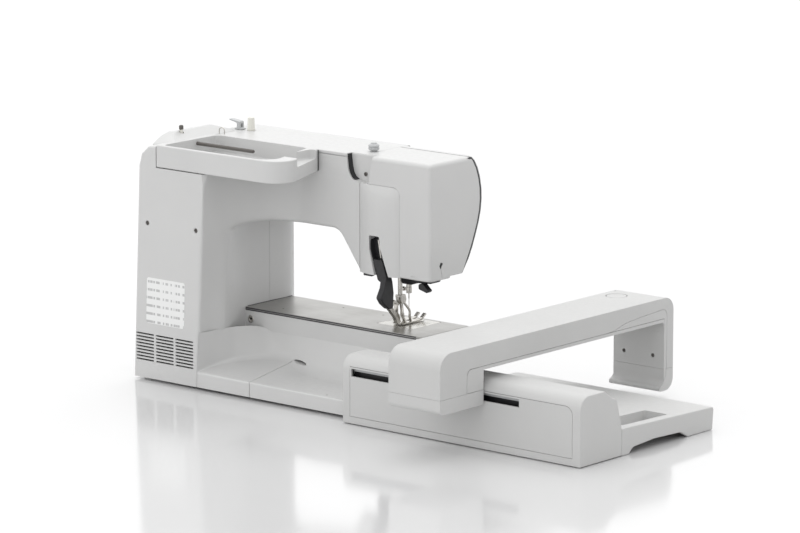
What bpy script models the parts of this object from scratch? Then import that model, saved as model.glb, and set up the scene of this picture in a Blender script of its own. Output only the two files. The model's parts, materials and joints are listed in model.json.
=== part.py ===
"""Computerised sewing machine with its embroidery module attached.

Frame: origin on the table at the middle of the whole object's footprint, +Z up.  The machine's
front faces -Y and its back +Y, the pillar and handwheel are at +X, the needle head and the
embroidery module at -X.  Lengths below are in millimetres; MM turns them into metres.
"""
from math import cos, pi, radians, sin

import bmesh
import bpy
from mathutils import Vector

MM = 0.001

# ---- driving dimensions ------------------------------------------------------------------------
GAP = 0.3             # clearance between pieces that touch on the real object
WALL = 3.0            # casing wall

# machine body
REAR_Y = 146.4        # rear plane of pillar, handle lip and plinth
SEAM_Y = -9.6         # plane where the front and rear casings meet
FRONT_Y = -100.0      # front plane of arm and pillar
ARM_REAR_Y = 16.0     # rear face of the upper arm and head
ARM_Z = 242.0         # underside of the upper arm
TOP_Z = 356.0
PILLAR_X = 288.0      # rear edge of the pillar towards the needle
WALL_X = 298.0        # face of the pillar beside the bed, set back from that edge
PILLAR_FOOT_X = 420.0
PILLAR_TOP_X = 404.0
BASE_X = -10.0        # end of the base, where the embroidery module docks
FOOT_H = 4.0          # rubber feet
CABLE_DECK_Z = 42.6   # top of the base under the free arm

# head
HEAD_X = (-45.0, 88.0)
HEAD_Z = 184.0
FACE_BUTTON_Z = 292.0

# free arm and bed
FREE_ARM_X = -46.0
BED_Y = (-72.0, 33.0)
FREE_ARM_Z = 43.0
BED_Z = 107.0
BED_PLATE_T = 3.0

# drive line
NEEDLE = (38.0, -36.0)
PRESSER_Y = -16.0
SHAFT_Y, SHAFT_Z = -45.0, 300.0
MOTOR_Y, MOTOR_Z = 60.0, 90.0
HOOK_Z = 80.0
BELT_X = 392.0
HAND_PULLEY_R, MOTOR_PULLEY_R = 28.0, 7.0

# top and end fittings
WINDER = (388.0, 72.0)
INLET_Y = (76.0, 126.0)

# embroidery module
MODULE_X = (-438.5, -10.3)
MODULE_REAR_Y = 168.75
BOX_FRONT_Y = 75.0    # front of the tall box, where the low plate starts
BOX_Z = 99.0
PLATE_Z = 39.0
PLATE_FRONT_Y = -139.7
PLATE_X = -84.0
SLOT_X = (-331.4, -25.3)
SLOT_Z = (70.0, 81.5)
RAIL_Y, RAIL_Z, RAIL_R = 140.0, 72.0, 5.0

# embroidery arm, which crosses the module from rear to front
ARM_X = (-271.2, -179.0)
ARM_END_Y = 266.7
BRIDGE_Z = (115.5, 151.0)
LEG_T = 22.0
ROD_Y = (-228.0, 196.0)

SKIN = ((0.83, 0.83, 0.82), 0.38, 0.0)
SKIN_GREY = ((0.62, 0.63, 0.63), 0.45, 0.0)
STEEL = ((0.62, 0.61, 0.58), 0.28, 1.0)
BRUSHED = ((0.55, 0.54, 0.51), 0.38, 1.0)
CAST = ((0.46, 0.47, 0.48), 0.55, 0.9)
BLACK = ((0.02, 0.02, 0.022), 0.5, 0.0)
DARK = ((0.09, 0.09, 0.095), 0.55, 0.0)
RUBBER = ((0.03, 0.03, 0.03), 0.85, 0.0)
CREAM = ((0.78, 0.77, 0.70), 0.45, 0.0)
SCREEN = ((0.015, 0.018, 0.022), 0.12, 0.0)
BRASS = ((0.55, 0.42, 0.2), 0.35, 1.0)


# ---- mesh helpers ------------------------------------------------------------------------------
def plain_material(name, look):
    """Material from a (colour, roughness, metallic) triple."""
    colour, roughness, metallic = look
    material = bpy.data.materials.new(name)
    material.use_nodes = True
    shader = material.node_tree.nodes["Principled BSDF"]
    shader.inputs["Base Color"].default_value = (*colour, 1.0)
    shader.inputs["Roughness"].default_value = roughness
    shader.inputs["Metallic"].default_value = metallic
    return material


def finish(scene_name, bm, finish_values=None, bevel=0.0, bevel_steps=1):
    """Turn a bmesh in millimetres into a named object in metres with its own material."""
    bmesh.ops.scale(bm, vec=Vector((MM, MM, MM)), verts=bm.verts)
    bmesh.ops.recalc_face_normals(bm, faces=bm.faces)
    mesh = bpy.data.meshes.new(scene_name)
    bm.to_mesh(mesh)
    bm.free()
    obj = bpy.data.objects.new(scene_name, mesh)
    bpy.context.scene.collection.objects.link(obj)
    if bevel > 0.0:
        edge = obj.modifiers.new("edge", "BEVEL")
        edge.width = bevel * MM
        edge.segments = bevel_steps
        edge.limit_method = "ANGLE"
        edge.angle_limit = radians(40)
    if finish_values is None:
        obj.hide_render = True
        obj.display_type = "WIRE"
        return obj
    mesh.materials.append(plain_material(scene_name, finish_values))
    return obj


def add_block(bm, low, high):
    """Add an axis-aligned block to a bmesh."""
    corners = []
    for z in (low[2], high[2]):
        corners.append([bm.verts.new((low[0], low[1], z)), bm.verts.new((high[0], low[1], z)),
                        bm.verts.new((high[0], high[1], z)), bm.verts.new((low[0], high[1], z))])
    bottom, top = corners
    bm.faces.new(bottom[::-1])
    bm.faces.new(top)
    for i in range(4):
        j = (i + 1) % 4
        bm.faces.new((bottom[i], bottom[j], top[j], top[i]))


def block(name, low, high, look=None, bevel=0.0, bevel_steps=1):
    bm = bmesh.new()
    add_block(bm, low, high)
    return finish(name, bm, look, bevel, bevel_steps)


def blocks(name, boxes, look=None):
    """Several separate blocks in one object."""
    bm = bmesh.new()
    for low, high in boxes:
        add_block(bm, low, high)
    return finish(name, bm, look)


def rounded(points, steps=4):
    """Outline from (a, b, corner radius) points, with each rounded corner as an arc."""
    outline = []
    count = len(points)
    for i, (a, b, radius) in enumerate(points):
        here = Vector((a, b))
        if radius <= 0.0:
            outline.append(here)
            continue
        back = (Vector(points[i - 1][:2]) - here).normalized()
        ahead = (Vector(points[(i + 1) % count][:2]) - here).normalized()
        half = back.angle(ahead) / 2.0
        reach = radius / sin(half) * cos(half)
        centre = here + (back + ahead).normalized() * (radius / sin(half))
        start = (here + back * reach - centre).normalized()
        end = (here + ahead * reach - centre).normalized()
        for k in range(steps + 1):
            outline.append(centre + start.slerp(end, k / steps) * radius)
    return outline


def place(a, b, c, axis):
    """3-D point from outline coordinates a, b and the coordinate c along the axis."""
    return {"X": (c, a, b), "Y": (a, c, b), "Z": (a, b, c)}[axis]


def add_prism(bm, outline, axis, low, high):
    """Add a prism: outline is (y, z) across X, (x, z) across Y or (x, y) across Z."""
    first = [bm.verts.new(place(p[0], p[1], low, axis)) for p in outline]
    last = [bm.verts.new(place(p[0], p[1], high, axis)) for p in outline]
    bm.faces.new(first[::-1])
    bm.faces.new(last)
    for i in range(len(outline)):
        j = (i + 1) % len(outline)
        bm.faces.new((first[i], first[j], last[j], last[i]))


def prism(name, outline, axis, low, high, look=None, bevel=0.0, bevel_steps=1):
    bm = bmesh.new()
    add_prism(bm, outline, axis, low, high)
    return finish(name, bm, look, bevel, bevel_steps)


def circle(a, b, radius, steps):
    return [(a + radius * cos(2 * pi * k / steps), b + radius * sin(2 * pi * k / steps))
            for k in range(steps)]


def rod(name, axis, centre, radius, low, high, look=None, steps=16, bevel=0.0):
    return prism(name, circle(centre[0], centre[1], radius, steps), axis, low, high, look, bevel)


def turned(name, axis, centre, profile, look=None, steps=24):
    """Solid of revolution from (position along the axis, radius) pairs; radius 0 ends it."""
    bm = bmesh.new()
    rings = []
    for along, radius in profile:
        if radius <= 0.0:
            rings.append([bm.verts.new(place(centre[0], centre[1], along, axis))])
            continue
        points = circle(centre[0], centre[1], radius, steps)
        rings.append([bm.verts.new(place(p[0], p[1], along, axis)) for p in points])
    for ring, following in zip(rings, rings[1:]):
        for k in range(steps):
            m = (k + 1) % steps
            corners = [ring[k % len(ring)], ring[m % len(ring)],
                       following[m % len(following)], following[k % len(following)]]
            unique = list(dict.fromkeys(corners))
            bm.faces.new(unique)
    return finish(name, bm, look)


def bend(name, points, radius, look=None, steps=8):
    """Round wire along points in millimetres, with filled ends."""
    curve = bpy.data.curves.new(name, "CURVE")
    curve.dimensions = "3D"
    curve.bevel_depth = radius * MM
    curve.bevel_resolution = steps // 4
    curve.use_fill_caps = True
    spline = curve.splines.new("POLY")
    spline.points.add(len(points) - 1)
    for target, point in zip(spline.points, points):
        target.co = (point[0] * MM, point[1] * MM, point[2] * MM, 1.0)
    obj = bpy.data.objects.new(name, curve)
    bpy.context.scene.collection.objects.link(obj)
    curve.materials.append(plain_material(name, look))
    return obj


def combine(target, operation, *tools):
    for tool in tools:
        step = target.modifiers.new(tool.name, "BOOLEAN")
        step.operation = operation
        step.object = tool
        step.solver = "EXACT"
        tool.hide_render = True
        tool.display_type = "WIRE"
    return target


def cut(target, *tools):
    return combine(target, "DIFFERENCE", *tools)


def join(target, *tools):
    return combine(target, "UNION", *tools)


def limit(target, *tools):
    return combine(target, "INTERSECT", *tools)


# ---- machine casings ---------------------------------------------------------------------------
def c_profile(inset=0.0, left=None):
    """Side view of pillar and upper arm, (x, z), moved in by the wall thickness."""
    lean = (PILLAR_FOOT_X - PILLAR_TOP_X) / (TOP_Z - FOOT_H)
    x_left = HEAD_X[1] + GAP if left is None else left
    top = TOP_Z - inset
    bottom = FOOT_H + inset
    return rounded([
        (x_left, top, 0), (x_left, 185.0 + inset, 0),
        (129.0, ARM_Z + inset, 20), (WALL_X + inset, ARM_Z + inset, 14),
        (WALL_X + inset, bottom, 0),
        (PILLAR_FOOT_X - inset, bottom, 0),
        (PILLAR_FOOT_X - inset - lean * (top - bottom), top, 30)], 3)


def rear_casing():
    """Rear shell: pillar to the rear plane and a shallow arm, open at the front seam."""
    shell = prism("rear_casing", c_profile(), "Y", SEAM_Y + GAP, REAR_Y, SKIN)
    edge = prism("add_pillar_edge", [(PILLAR_X, FOOT_H), (PILLAR_X, 86), (279, 232), (279, 323.5),
                                     (310, 323.5), (310, FOOT_H)], "Y", 102, REAR_Y)
    behind_arm = block("cut_behind_arm", (0, ARM_REAR_Y, 150), (278, 200, 400))
    cove = prism("cut_cove", rounded([(200, 103, 0), (200, ARM_REAR_Y, 0), (250, ARM_REAR_Y, 0),
                                      (279, 62, 20), (279, 103, 0)], 3), "Z", 150, 400)
    inner = prism("cut_rear_inner", c_profile(WALL, HEAD_X[1] - 20), "Y", SEAM_Y - 20,
                  ARM_REAR_Y - WALL)
    pillar_inner = prism("cut_pillar_inner", rounded([
        (WALL_X + WALL, FOOT_H + WALL, 0), (PILLAR_FOOT_X - WALL - 4, FOOT_H + WALL, 0),
        (PILLAR_TOP_X - WALL - 3, 318, 10), (WALL_X + WALL, 318, 10)], 3),
        "Y", ARM_REAR_Y - 10, REAR_Y - WALL)
    handle_seat = block("cut_handle_seat", (100, ARM_REAR_Y - 0.2, 323.5), (370.3, 200, 400))
    arm_door = block("cut_arm_door", (WALL_X - 8, -60, 43.5), (WALL_X + 8, 8, 104))
    underside = block("cut_pillar_sill", (PILLAR_X - 4, -80, 0), (PILLAR_X + 108.4, 33.3, 43.0))
    top_seat = block("cut_top_seat", (40, -120, TOP_Z - 5.3), (PILLAR_TOP_X - 6, ARM_REAR_Y, 400))
    slots = []
    for row in range(9):
        z = 30.0 + 4.9 * row
        for column in range(3):
            x = 299.0 + 39.5 * column
            slots.append(((x, REAR_Y - 8, z), (x + 36.0, REAR_Y + 5, z + 2.4)))
    vents = blocks("cut_vents", slots)
    inlet = block("cut_inlet", (380, INLET_Y[0] - 1, 40), (440, INLET_Y[1] + 1, 88))
    winder_room = block("cut_winder_room", (374, 20, 310), (392.5, REAR_Y - WALL, 341))
    winder_hole = rod("cut_winder_hole", "Z", WINDER, 3.6, 330, 400)
    return cut(join(cut(shell, behind_arm, cove), edge), inner, pillar_inner, handle_seat, arm_door, underside,
               top_seat, vents, inlet, winder_room, winder_hole)


def soft_edge_plan(grow):
    """Plan of what the large soft edge beside the sewing space takes off the pillar."""
    return [(PILLAR_X - 20, FRONT_Y - 20), (PILLAR_X + 38 + grow, FRONT_Y - 1),
            (PILLAR_X + 12 + grow, FRONT_Y + 16 + grow), (PILLAR_X - 1 + grow, FRONT_Y + 42),
            (PILLAR_X - 20, FRONT_Y + 42)]


def front_casing():
    """Front shell of pillar and arm, with the large soft edge beside the sewing space."""
    shell = prism("front_casing", c_profile(), "Y", FRONT_Y, SEAM_Y, SKIN)
    plan = prism("keep_front_plan", rounded([
        (40, 0, 0), (40, FRONT_Y, 0), (430, FRONT_Y, 22), (430, 0, 0)], 4), "Z", -10, 400)
    soft_edge = prism("cut_soft_edge", soft_edge_plan(0.0), "Z", -10, ARM_Z - 24)
    inner = prism("cut_front_inner", c_profile(WALL, HEAD_X[1] - 20), "Y", FRONT_Y + 16,
                  SEAM_Y + 20)
    cut(inner, prism("keep_soft_edge", soft_edge_plan(WALL + 1.0), "Z", -10, ARM_Z - 20))
    screen = prism("cut_screen", rounded([(330, 150, 4), (397, 150, 4), (397, 316, 4),
                                          (330, 316, 4)], 2), "Y", FRONT_Y - 5, FRONT_Y + 2.5)
    holes = [rod(f"cut_knob_{i}", "Y", (x, 112), 4.6, FRONT_Y - 5, FRONT_Y + 30)
             for i, x in enumerate((350, 380))]
    top_seat = block("cut_front_top", (40, -97.0, TOP_Z - 5.3), (PILLAR_TOP_X - 6, 20, 400))
    arm_door = block("cut_front_door", (WALL_X - 8, -60, 43.3), (WALL_X + 8, 20, 104))
    underside = block("cut_front_sill", (PILLAR_X - 4, -66.4, 0), (PILLAR_X + 108.4, 33.3, 43.0))
    shaft_hole = rod("cut_shaft_hole", "X", (SHAFT_Y, SHAFT_Z), 8, 380, 440)
    slider = block("cut_slider", (150, FRONT_Y - 5, 262), (196, FRONT_Y + 30, 266))
    return cut(limit(shell, plan), soft_edge, inner, screen, *holes, top_seat, arm_door,
               underside, shaft_hole, slider)


def top_cover():
    """Lid over the arm, with the hole that the upright spool pin slides through."""
    lid = block("top_cover", (HEAD_X[1] + GAP, -96.7, TOP_Z - 5.0),
                (PILLAR_TOP_X - 6.3, ARM_REAR_Y - 0.3, TOP_Z), SKIN, 1.2)
    return cut(lid, rod("cut_lid_pin", "Z", (355, -46), 6.4, 300, 400))


def carry_handle():
    """Lip and tray behind the arm: fingers go under it and small things lie in it."""
    body = prism("carry_handle", rounded([
        (370, REAR_Y, 0), (117, REAR_Y, 28), (166, ARM_REAR_Y + GAP, 0),
        (370, ARM_REAR_Y + GAP, 0)]), "Z", 324.0, TOP_Z + 1, SKIN)
    tray = prism("cut_tray", rounded([
        (360, REAR_Y - 7, 8), (152, REAR_Y - 7, 20), (190, ARM_REAR_Y + 4, 6),
        (360, ARM_REAR_Y + 4, 8)]), "Z", 332.0, 400)
    scoop = block("cut_tray_end", (100, ARM_REAR_Y + 10, 345.0), (158, 110, 400))
    return cut(body, tray, scoop)


def head_outline():
    """End view of the rear head cover, (y, z); its front edge is the curved gap."""
    return rounded([
        (ARM_REAR_Y, HEAD_Z, 0), (ARM_REAR_Y, TOP_Z, 4),
        (-74, TOP_Z, 0), (-88, 338, 0), (-97, 308, 0), (-96, 276, 0), (-84, 240, 0),
        (-68, 207, 0), (-54, HEAD_Z, 0)], 2)


def head_cover():
    """Rear and end shell of the needle head, open in front, below and towards the arm."""
    shell = prism("head_cover", head_outline(), "X", HEAD_X[0], HEAD_X[1], SKIN)
    cavity = block("cut_head_cavity", (HEAD_X[0] + WALL, -150, 150),
                   (HEAD_X[1] + 10, ARM_REAR_Y - WALL, TOP_Z - WALL))
    panel_seat = block("cut_panel_seat", (12.7, -20, 150), (HEAD_X[1] + 5, 40, 315.3))
    return cut(shell, cavity, panel_seat)


def head_slot_panel():
    """Narrow rear panel of the head with the tall slot for the fabric feed lever."""
    panel = prism("head_slot_panel", rounded([
        (13, 9, 0), (13, ARM_REAR_Y, 0), (46, ARM_REAR_Y + 9, 10), (62, ARM_REAR_Y + 9, 10),
        (87.6, ARM_REAR_Y, 0), (87.6, 9, 0), (62, ARM_REAR_Y + 3, 0), (46, ARM_REAR_Y + 3, 0)],
        2), "Z", HEAD_Z - 4, 315.0, SKIN)
    slot = prism("cut_feed_slot", [(52, 100), (52, 178), (65, 222), (65, 242), (44, 242),
                                   (43, 226), (27, 178), (27, 100)], "Y", -20, 60)
    return cut(panel, slot)


def face_cover():
    """Bulging front shell of the head, with the slot in which the take-up lever swings."""
    front = FRONT_Y - 8
    back = [(-75, TOP_Z), (-89, 338), (-98, 308), (-97, 276), (-85, 240), (-69, 207),
            (-55, HEAD_Z)]
    fore = [(-65, HEAD_Z), (-80, 207), (-98, 245), (front, 274), (front, 316), (-101, 342),
            (-88, TOP_Z)]
    bm = bmesh.new()
    rings = []
    for x, share in ((HEAD_X[0], 0.12), (HEAD_X[0] + 9, 1.0), (HEAD_X[1], 1.0)):
        middle = [(b[0] + (f[0] - b[0]) * share, b[1] + (f[1] - b[1]) * share)
                  for b, f in zip(back[::-1], fore)]
        rings.append([bm.verts.new((x, y, z)) for y, z in back + middle])
    count = len(rings[0])
    for k in range(len(back) - 1):
        for end in (rings[0], rings[-1]):
            bm.faces.new((end[k], end[k + 1], end[count - 2 - k], end[count - 1 - k]))
    for ring, following in zip(rings, rings[1:]):
        for k in range(count):
            m = (k + 1) % count
            bm.faces.new((ring[k], following[k], following[m], ring[m]))
    bmesh.ops.triangulate(bm, faces=bm.faces)
    shell = finish("face_cover", bm, SKIN)
    hollow = prism("cut_face_hollow", [
        (0, TOP_Z - WALL), (-84, TOP_Z - WALL), (-97, 341), (front + WALL, 315),
        (front + WALL, 275), (-94, 245), (-76, 207), (-61, 150), (0, 150)], "X",
        HEAD_X[0] + 12, HEAD_X[1] - WALL)
    slot = block("cut_take_up_slot", (34, -150, 244), (42, -60, 343))
    holes = [rod(f"cut_face_button_{i}", "Y", (x, FACE_BUTTON_Z), 8.5, -150, -60)
             for i, x in enumerate((-12, 66))]
    return cut(shell, hollow, slot, *holes)


def bed():
    """Free arm shell, metal bed plate and the needle plate let into it."""
    shell = prism("free_arm_casing", rounded([
        (BED_Y[0], BED_Z - BED_PLATE_T - GAP, 0), (BED_Y[0], FREE_ARM_Z, 6),
        (BED_Y[1], FREE_ARM_Z, 0), (BED_Y[1], BED_Z - BED_PLATE_T - GAP, 0)]), "X",
        FREE_ARM_X, WALL_X - 0.6, SKIN)
    cavity = block("cut_free_arm", (FREE_ARM_X - 20, BED_Y[0] + WALL, FREE_ARM_Z + WALL),
                   (WALL_X + 20, BED_Y[1] - WALL, 130))
    socket = rod("cut_socket", "Y", (287, 89.4), 4.6, 20, 50)
    cut(shell, cavity, socket)
    plate = prism("bed_plate", rounded([
        (FREE_ARM_X, BED_Y[0], 4), (WALL_X - 0.4, BED_Y[0], 0), (WALL_X - 0.4, 28, 0),
        (WALL_X - 5, BED_Y[1], 4), (FREE_ARM_X, BED_Y[1], 4)]), "Z", BED_Z - BED_PLATE_T,
        BED_Z, BRUSHED, 0.4)
    seat = block("cut_plate_seat", (1.7, -66.3, 90), (70.3, -0.7, 120))
    cut(plate, seat)
    stitch = prism("stitch_plate", rounded([(2, -66, 3), (70, -66, 3), (70, -1, 3), (2, -1, 3)],
                                           2), "Z", BED_Z - BED_PLATE_T, BED_Z, STEEL, 0.3)
    slots = [((x, -58, 90), (x + 6.0, -18, 120)) for x in (25.5, 44.5)]
    slots.append(((33.0, NEEDLE[1] - 2, 90), (43.0, NEEDLE[1] + 2, 120)))
    cut(stitch, blocks("cut_feed_slots", slots))


def bobbin_door():
    """Drop-down end of the free arm, hinged along its lower edge."""
    door = prism("bobbin_door", rounded([
        (FREE_ARM_X - GAP, 49.0, 0), (FREE_ARM_X - GAP, BED_Z - 0.4, 0),
        (FREE_ARM_X - 16, BED_Z - 0.4, 8), (FREE_ARM_X - 16, 49.0, 6)], 3), "Y",
        BED_Y[0] + 0.5, BED_Y[1] - 0.5, SKIN)
    hollow = block("cut_door", (FREE_ARM_X - 13, BED_Y[0] + 4, 52), (0, BED_Y[1] - 4, BED_Z - 4))
    return cut(door, hollow)


def base():
    """Lower pan, rear plinth and the two rubber strips the machine stands on."""
    pan = prism("base_pan", rounded([
        (BASE_X, 33.0, 0), (BASE_X, -66.0, 14), (PILLAR_X + 108, -66.0, 14),
        (PILLAR_X + 108, 33.0, 0)]), "Z", FOOT_H, CABLE_DECK_Z, SKIN)
    hollow = block("cut_pan", (BASE_X + WALL, -63, 0), (PILLAR_X + 105, 30, CABLE_DECK_Z - 4))
    cut(pan, hollow)
    plinth = prism("plinth_cover", rounded([
        (33.3, FOOT_H, 0), (REAR_Y, FOOT_H, 0), (REAR_Y, 26, 3), (60, 37, 20),
        (33.3, CABLE_DECK_Z, 0)], 3), "X", BASE_X, PILLAR_X - 0.4, SKIN)
    hollow = prism("cut_plinth", [(36.3, 0), (REAR_Y - 3, 0), (REAR_Y - 3, 22), (36.3, 34)],
                   "X", BASE_X + 3, PILLAR_X - 4)
    cut(plinth, hollow)
    strip = rounded([(-60, 0, 0), (-60, FOOT_H - GAP, 2), (120, FOOT_H - GAP, 2), (120, 0, 0)])
    for name, x in (("foot_strip_head", 2.0), ("foot_strip_pillar", 300.0)):
        prism(name, strip, "X", x, x + 14.0, RUBBER)


# ---- structure and drive -----------------------------------------------------------------------
def frame_casting():
    """Cast C-frame that carries the shafts: bed beam, column and upper beam in one."""
    outline = rounded([
        (52, 292, 0), (52, 262, 0), (303, 262, 10), (303, 60, 6), (30, 60, 0), (30, 47.5, 0),
        (325, 47.5, 0), (325, 320, 6), (303, 320, 0), (303, 292, 0)], 2)
    frame = prism("frame_casting", outline, "Y", -30.0, -14.0, CAST)
    boss = block("add_shaft_boss", (304, SHAFT_Y - 13, SHAFT_Z - 16), (318, -28, SHAFT_Z + 13))
    bore = rod("cut_shaft_boss", "X", (SHAFT_Y, SHAFT_Z), 5.1, 290, 330, None, 24)
    return cut(join(frame, boss), bore)


def shaft_bush():
    """Plain bearing of the main shaft's head end, bolted to the front of the frame."""
    bush = block("shaft_bush", (100, SHAFT_Y - 13, SHAFT_Z - 24), (112, -30.3, SHAFT_Z + 13),
                 BRASS)
    return cut(bush, rod("cut_bush", "X", (SHAFT_Y, SHAFT_Z), 5.1, 90, 120, None, 24))


def main_shaft():
    """Upper shaft with its crank disc in the head and belt wheel in the pillar."""
    return turned("main_shaft", "X", (SHAFT_Y, SHAFT_Z), [
        (58, 0), (58, 13.5), (66, 13.5), (66, 5), (BELT_X - 6, 5), (BELT_X - 6, HAND_PULLEY_R),
        (BELT_X + 6, HAND_PULLEY_R), (BELT_X + 6, 5), (418, 5), (418, 0)], STEEL)


def handwheel():
    """Ribbed handwheel on the end of the main shaft."""
    wheel = turned("handwheel", "X", (SHAFT_Y, SHAFT_Z), [
        (418.3, 0), (418.3, 7), (421, 7), (421, 31), (424, 34), (435, 34), (438.5, 31),
        (438.5, 0)], SKIN_GREY, 32)
    grooves = []
    for k in range(16):
        angle = 2 * pi * (k + 0.5) / 16
        y, z = SHAFT_Y + 35.0 * cos(angle), SHAFT_Z + 35.0 * sin(angle)
        grooves.append(rod(f"cut_grip_{k}", "X", (y, z), 2.2, 415, 445, None, 6))
    return cut(wheel, *grooves)


def motor():
    """Main motor at the foot of the pillar and the small wheel on its spindle."""
    turned("motor", "X", (MOTOR_Y, MOTOR_Z), [
        (312, 0), (312, 10), (318, 10), (318, 29), (372, 29), (376, 24), (376, 0)], DARK, 20)
    turned("motor_pulley", "X", (MOTOR_Y, MOTOR_Z), [
        (376.4, 0), (376.4, 3), (BELT_X - 5, 3), (BELT_X - 5, MOTOR_PULLEY_R),
        (BELT_X + 5, MOTOR_PULLEY_R), (BELT_X + 5, 0)], STEEL, 16)


def belt_outline(grow):
    """Open-belt outline (y, z) around both wheels at a distance from their rims."""
    r_hand, r_motor = HAND_PULLEY_R + grow, MOTOR_PULLEY_R + grow
    line = Vector((SHAFT_Y - MOTOR_Y, SHAFT_Z - MOTOR_Z))
    heading = line.to_3d().angle(Vector((1, 0, 0)))
    spread = pi / 2 - (r_hand - r_motor) / line.length
    points = []
    for centre, radius, start, end in (
            ((SHAFT_Y, SHAFT_Z), r_hand, heading - pi + spread, heading + pi - spread),
            ((MOTOR_Y, MOTOR_Z), r_motor, heading + pi - spread, heading + pi + spread)):
        for k in range(13):
            angle = start + (end - start) * k / 12
            points.append((centre[0] + radius * cos(angle), centre[1] + radius * sin(angle)))
    return points


def drive_belt():
    """Toothed belt from the motor to the main shaft, a loop 1.4 mm thick."""
    low, high = BELT_X - 4, BELT_X + 4
    bm = bmesh.new()
    loops = [belt_outline(1.2), belt_outline(2.6)]
    rings = [[bm.verts.new((x, p[0], p[1])) for p in loop] for loop in loops
             for x in (low, high)]
    inner_low, inner_high, outer_low, outer_high = rings
    count = len(inner_low)
    for i in range(count):
        j = (i + 1) % count
        bm.faces.new((inner_low[i], inner_high[i], inner_high[j], inner_low[j]))
        bm.faces.new((outer_low[i], outer_low[j], outer_high[j], outer_high[i]))
        bm.faces.new((inner_low[i], inner_low[j], outer_low[j], outer_low[i]))
        bm.faces.new((inner_high[i], outer_high[i], outer_high[j], inner_high[j]))
    return finish("drive_belt", bm, RUBBER)


def head_bracket():
    """Bracket on the frame with two shelves that guide needle bar and presser bar."""
    bracket = block("head_bracket", (46.5, -46, 200), (51.7, -8, 296), CAST)
    for i, z in enumerate((200.0, 262.0)):
        shelf = block(f"add_shelf_{i}", (28, -46, z), (47.5, -8, z + 10))
        join(bracket, shelf)
    cut(bracket, rod("cut_needle_guide", "Z", NEEDLE, 3.6, 190, 300, None, 16),
        rod("cut_presser_guide", "Z", (NEEDLE[0], PRESSER_Y), 3.6, 190, 300, None, 16))
    return bracket


def needle_parts():
    """Needle bar with its clamp, and the needle."""
    turned("needle_bar", "Z", NEEDLE, [
        (151, 0), (151, 4.2), (164, 4.2), (164, 3.5), (312, 3.5), (312, 0)], STEEL, 16)
    turned("needle", "Z", NEEDLE, [(117, 0), (119.5, 0.55), (142, 0.55), (143, 0.9),
                                   (150.7, 0.9), (150.7, 0)], STEEL, 8)


def take_up_lever():
    """Thread take-up lever, which swings through the slot in the face cover."""
    return prism("take_up_lever", rounded([
        (-56, 284, 5), (-68, 284, 4), (-114, 322, 0), (-118, 330, 3), (-112, 336, 3),
        (-66, 298, 4), (-56, 298, 5)], 3), "X", 36.3, 39.7, STEEL)


def presser_parts():
    """Presser bar and the one-piece foot with its turned-up toes."""
    x = NEEDLE[0]
    turned("presser_bar", "Z", (x, PRESSER_Y), [
        (152, 0), (152, 3.5), (316, 3.5), (316, 0)], STEEL, 16)
    shank = rounded([
        (-22, 151.6, 0), (-10, 151.6, 0), (-11, 138, 4), (-19, 122, 6), (-21, 112.6, 0),
        (-14, 110.4, 0), (-14, 108.2, 0), (-56, 108.2, 5), (-65, 116, 0), (-63.5, 117.5, 0),
        (-55, 110.6, 5), (-27, 110.6, 4), (-25, 122, 6), (-20, 138, 4)], 3)
    foot = prism("presser_foot", shank, "X", x - 8, x + 8, STEEL)
    waist = blocks("cut_foot_waist", [((x - 12, -40, 112.4), (x - 3.5, 0, 155)),
                                      ((x + 3.5, -40, 112.4), (x + 12, 0, 155)),
                                      ((x - 5, NEEDLE[1] - 4, 100), (x + 5, NEEDLE[1] + 4, 120)),
                                      ((x - 2.2, -80, 100), (x + 2.2, -50, 120))])
    return cut(foot, waist)


def dual_feed_lever():
    """Black swing lever behind the foot: slanted arm, elbow and the upper feeder at its tip."""
    arm = prism("dual_feed_lever", [(49, 236), (60, 236), (60, 222), (46, 180), (42, 168),
                                    (34, 168), (34, 184), (48, 224)], "Y", 10.0, 21.0, BLACK)
    elbow = prism("add_elbow", rounded([
        (12, 186, 0), (21, 186, 0), (24, 166, 4), (32, 153, 5), (26, 143, 4), (13, 136, 3),
        (-3, 119, 2), (-9, 109, 0), (-12.4, 109, 0), (-12.4, 120, 0), (-8.4, 124, 0),
        (-8.4, 138, 0), (0, 146, 0), (3, 160, 0), (6, 176, 0)], 2), "X", 33.5, 43.0)
    toe = block("add_feed_toe", (31, -12.4, 109), (45, -7.6, 113))
    return join(arm, elbow, toe)


def threader_lever():
    """Small black lever of the needle threader, pulled straight down."""
    lever = prism("threader_lever", rounded([
        (-30, 165, 2), (-12, 169, 3), (-12, 177, 3), (-22, 178, 3), (-32, 168, 2)], 2), "Y",
        -7.0, 3.0, BLACK)
    return join(lever, rod("add_threader_rod", "Z", (-18, -2), 2.5, 172, 300, None, 10))


def feed_and_hook():
    """Feed dog under the needle plate, the rotary hook, its shaft and the bobbin case."""
    dog = blocks("feed_dog", [((26.6, -56, 98.2), (30.4, -20, 107.6)),
                              ((45.6, -56, 98.2), (49.4, -20, 107.6))], STEEL)
    join(dog, block("add_feed_bar", (26.6, -60, 98.2), (49.4, -54, 102.6)))
    turned("hook_shaft", "X", (NEEDLE[1], HOOK_Z), [
        (24.6, 0), (24.6, 4), (340, 4), (340, 11), (348, 11), (348, 0)], STEEL, 16)
    turned("hook", "X", (NEEDLE[1], HOOK_Z), [
        (24.3, 0), (24.3, 15), (21, 15), (10, 15), (10, 12.4), (20, 12.4), (20, 0)][::-1],
        STEEL, 24)
    turned("bobbin_case", "X", (NEEDLE[1], HOOK_Z), [
        (-6, 0), (-6, 10.5), (19, 10.5), (19, 0)], BRUSHED, 20)


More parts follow.
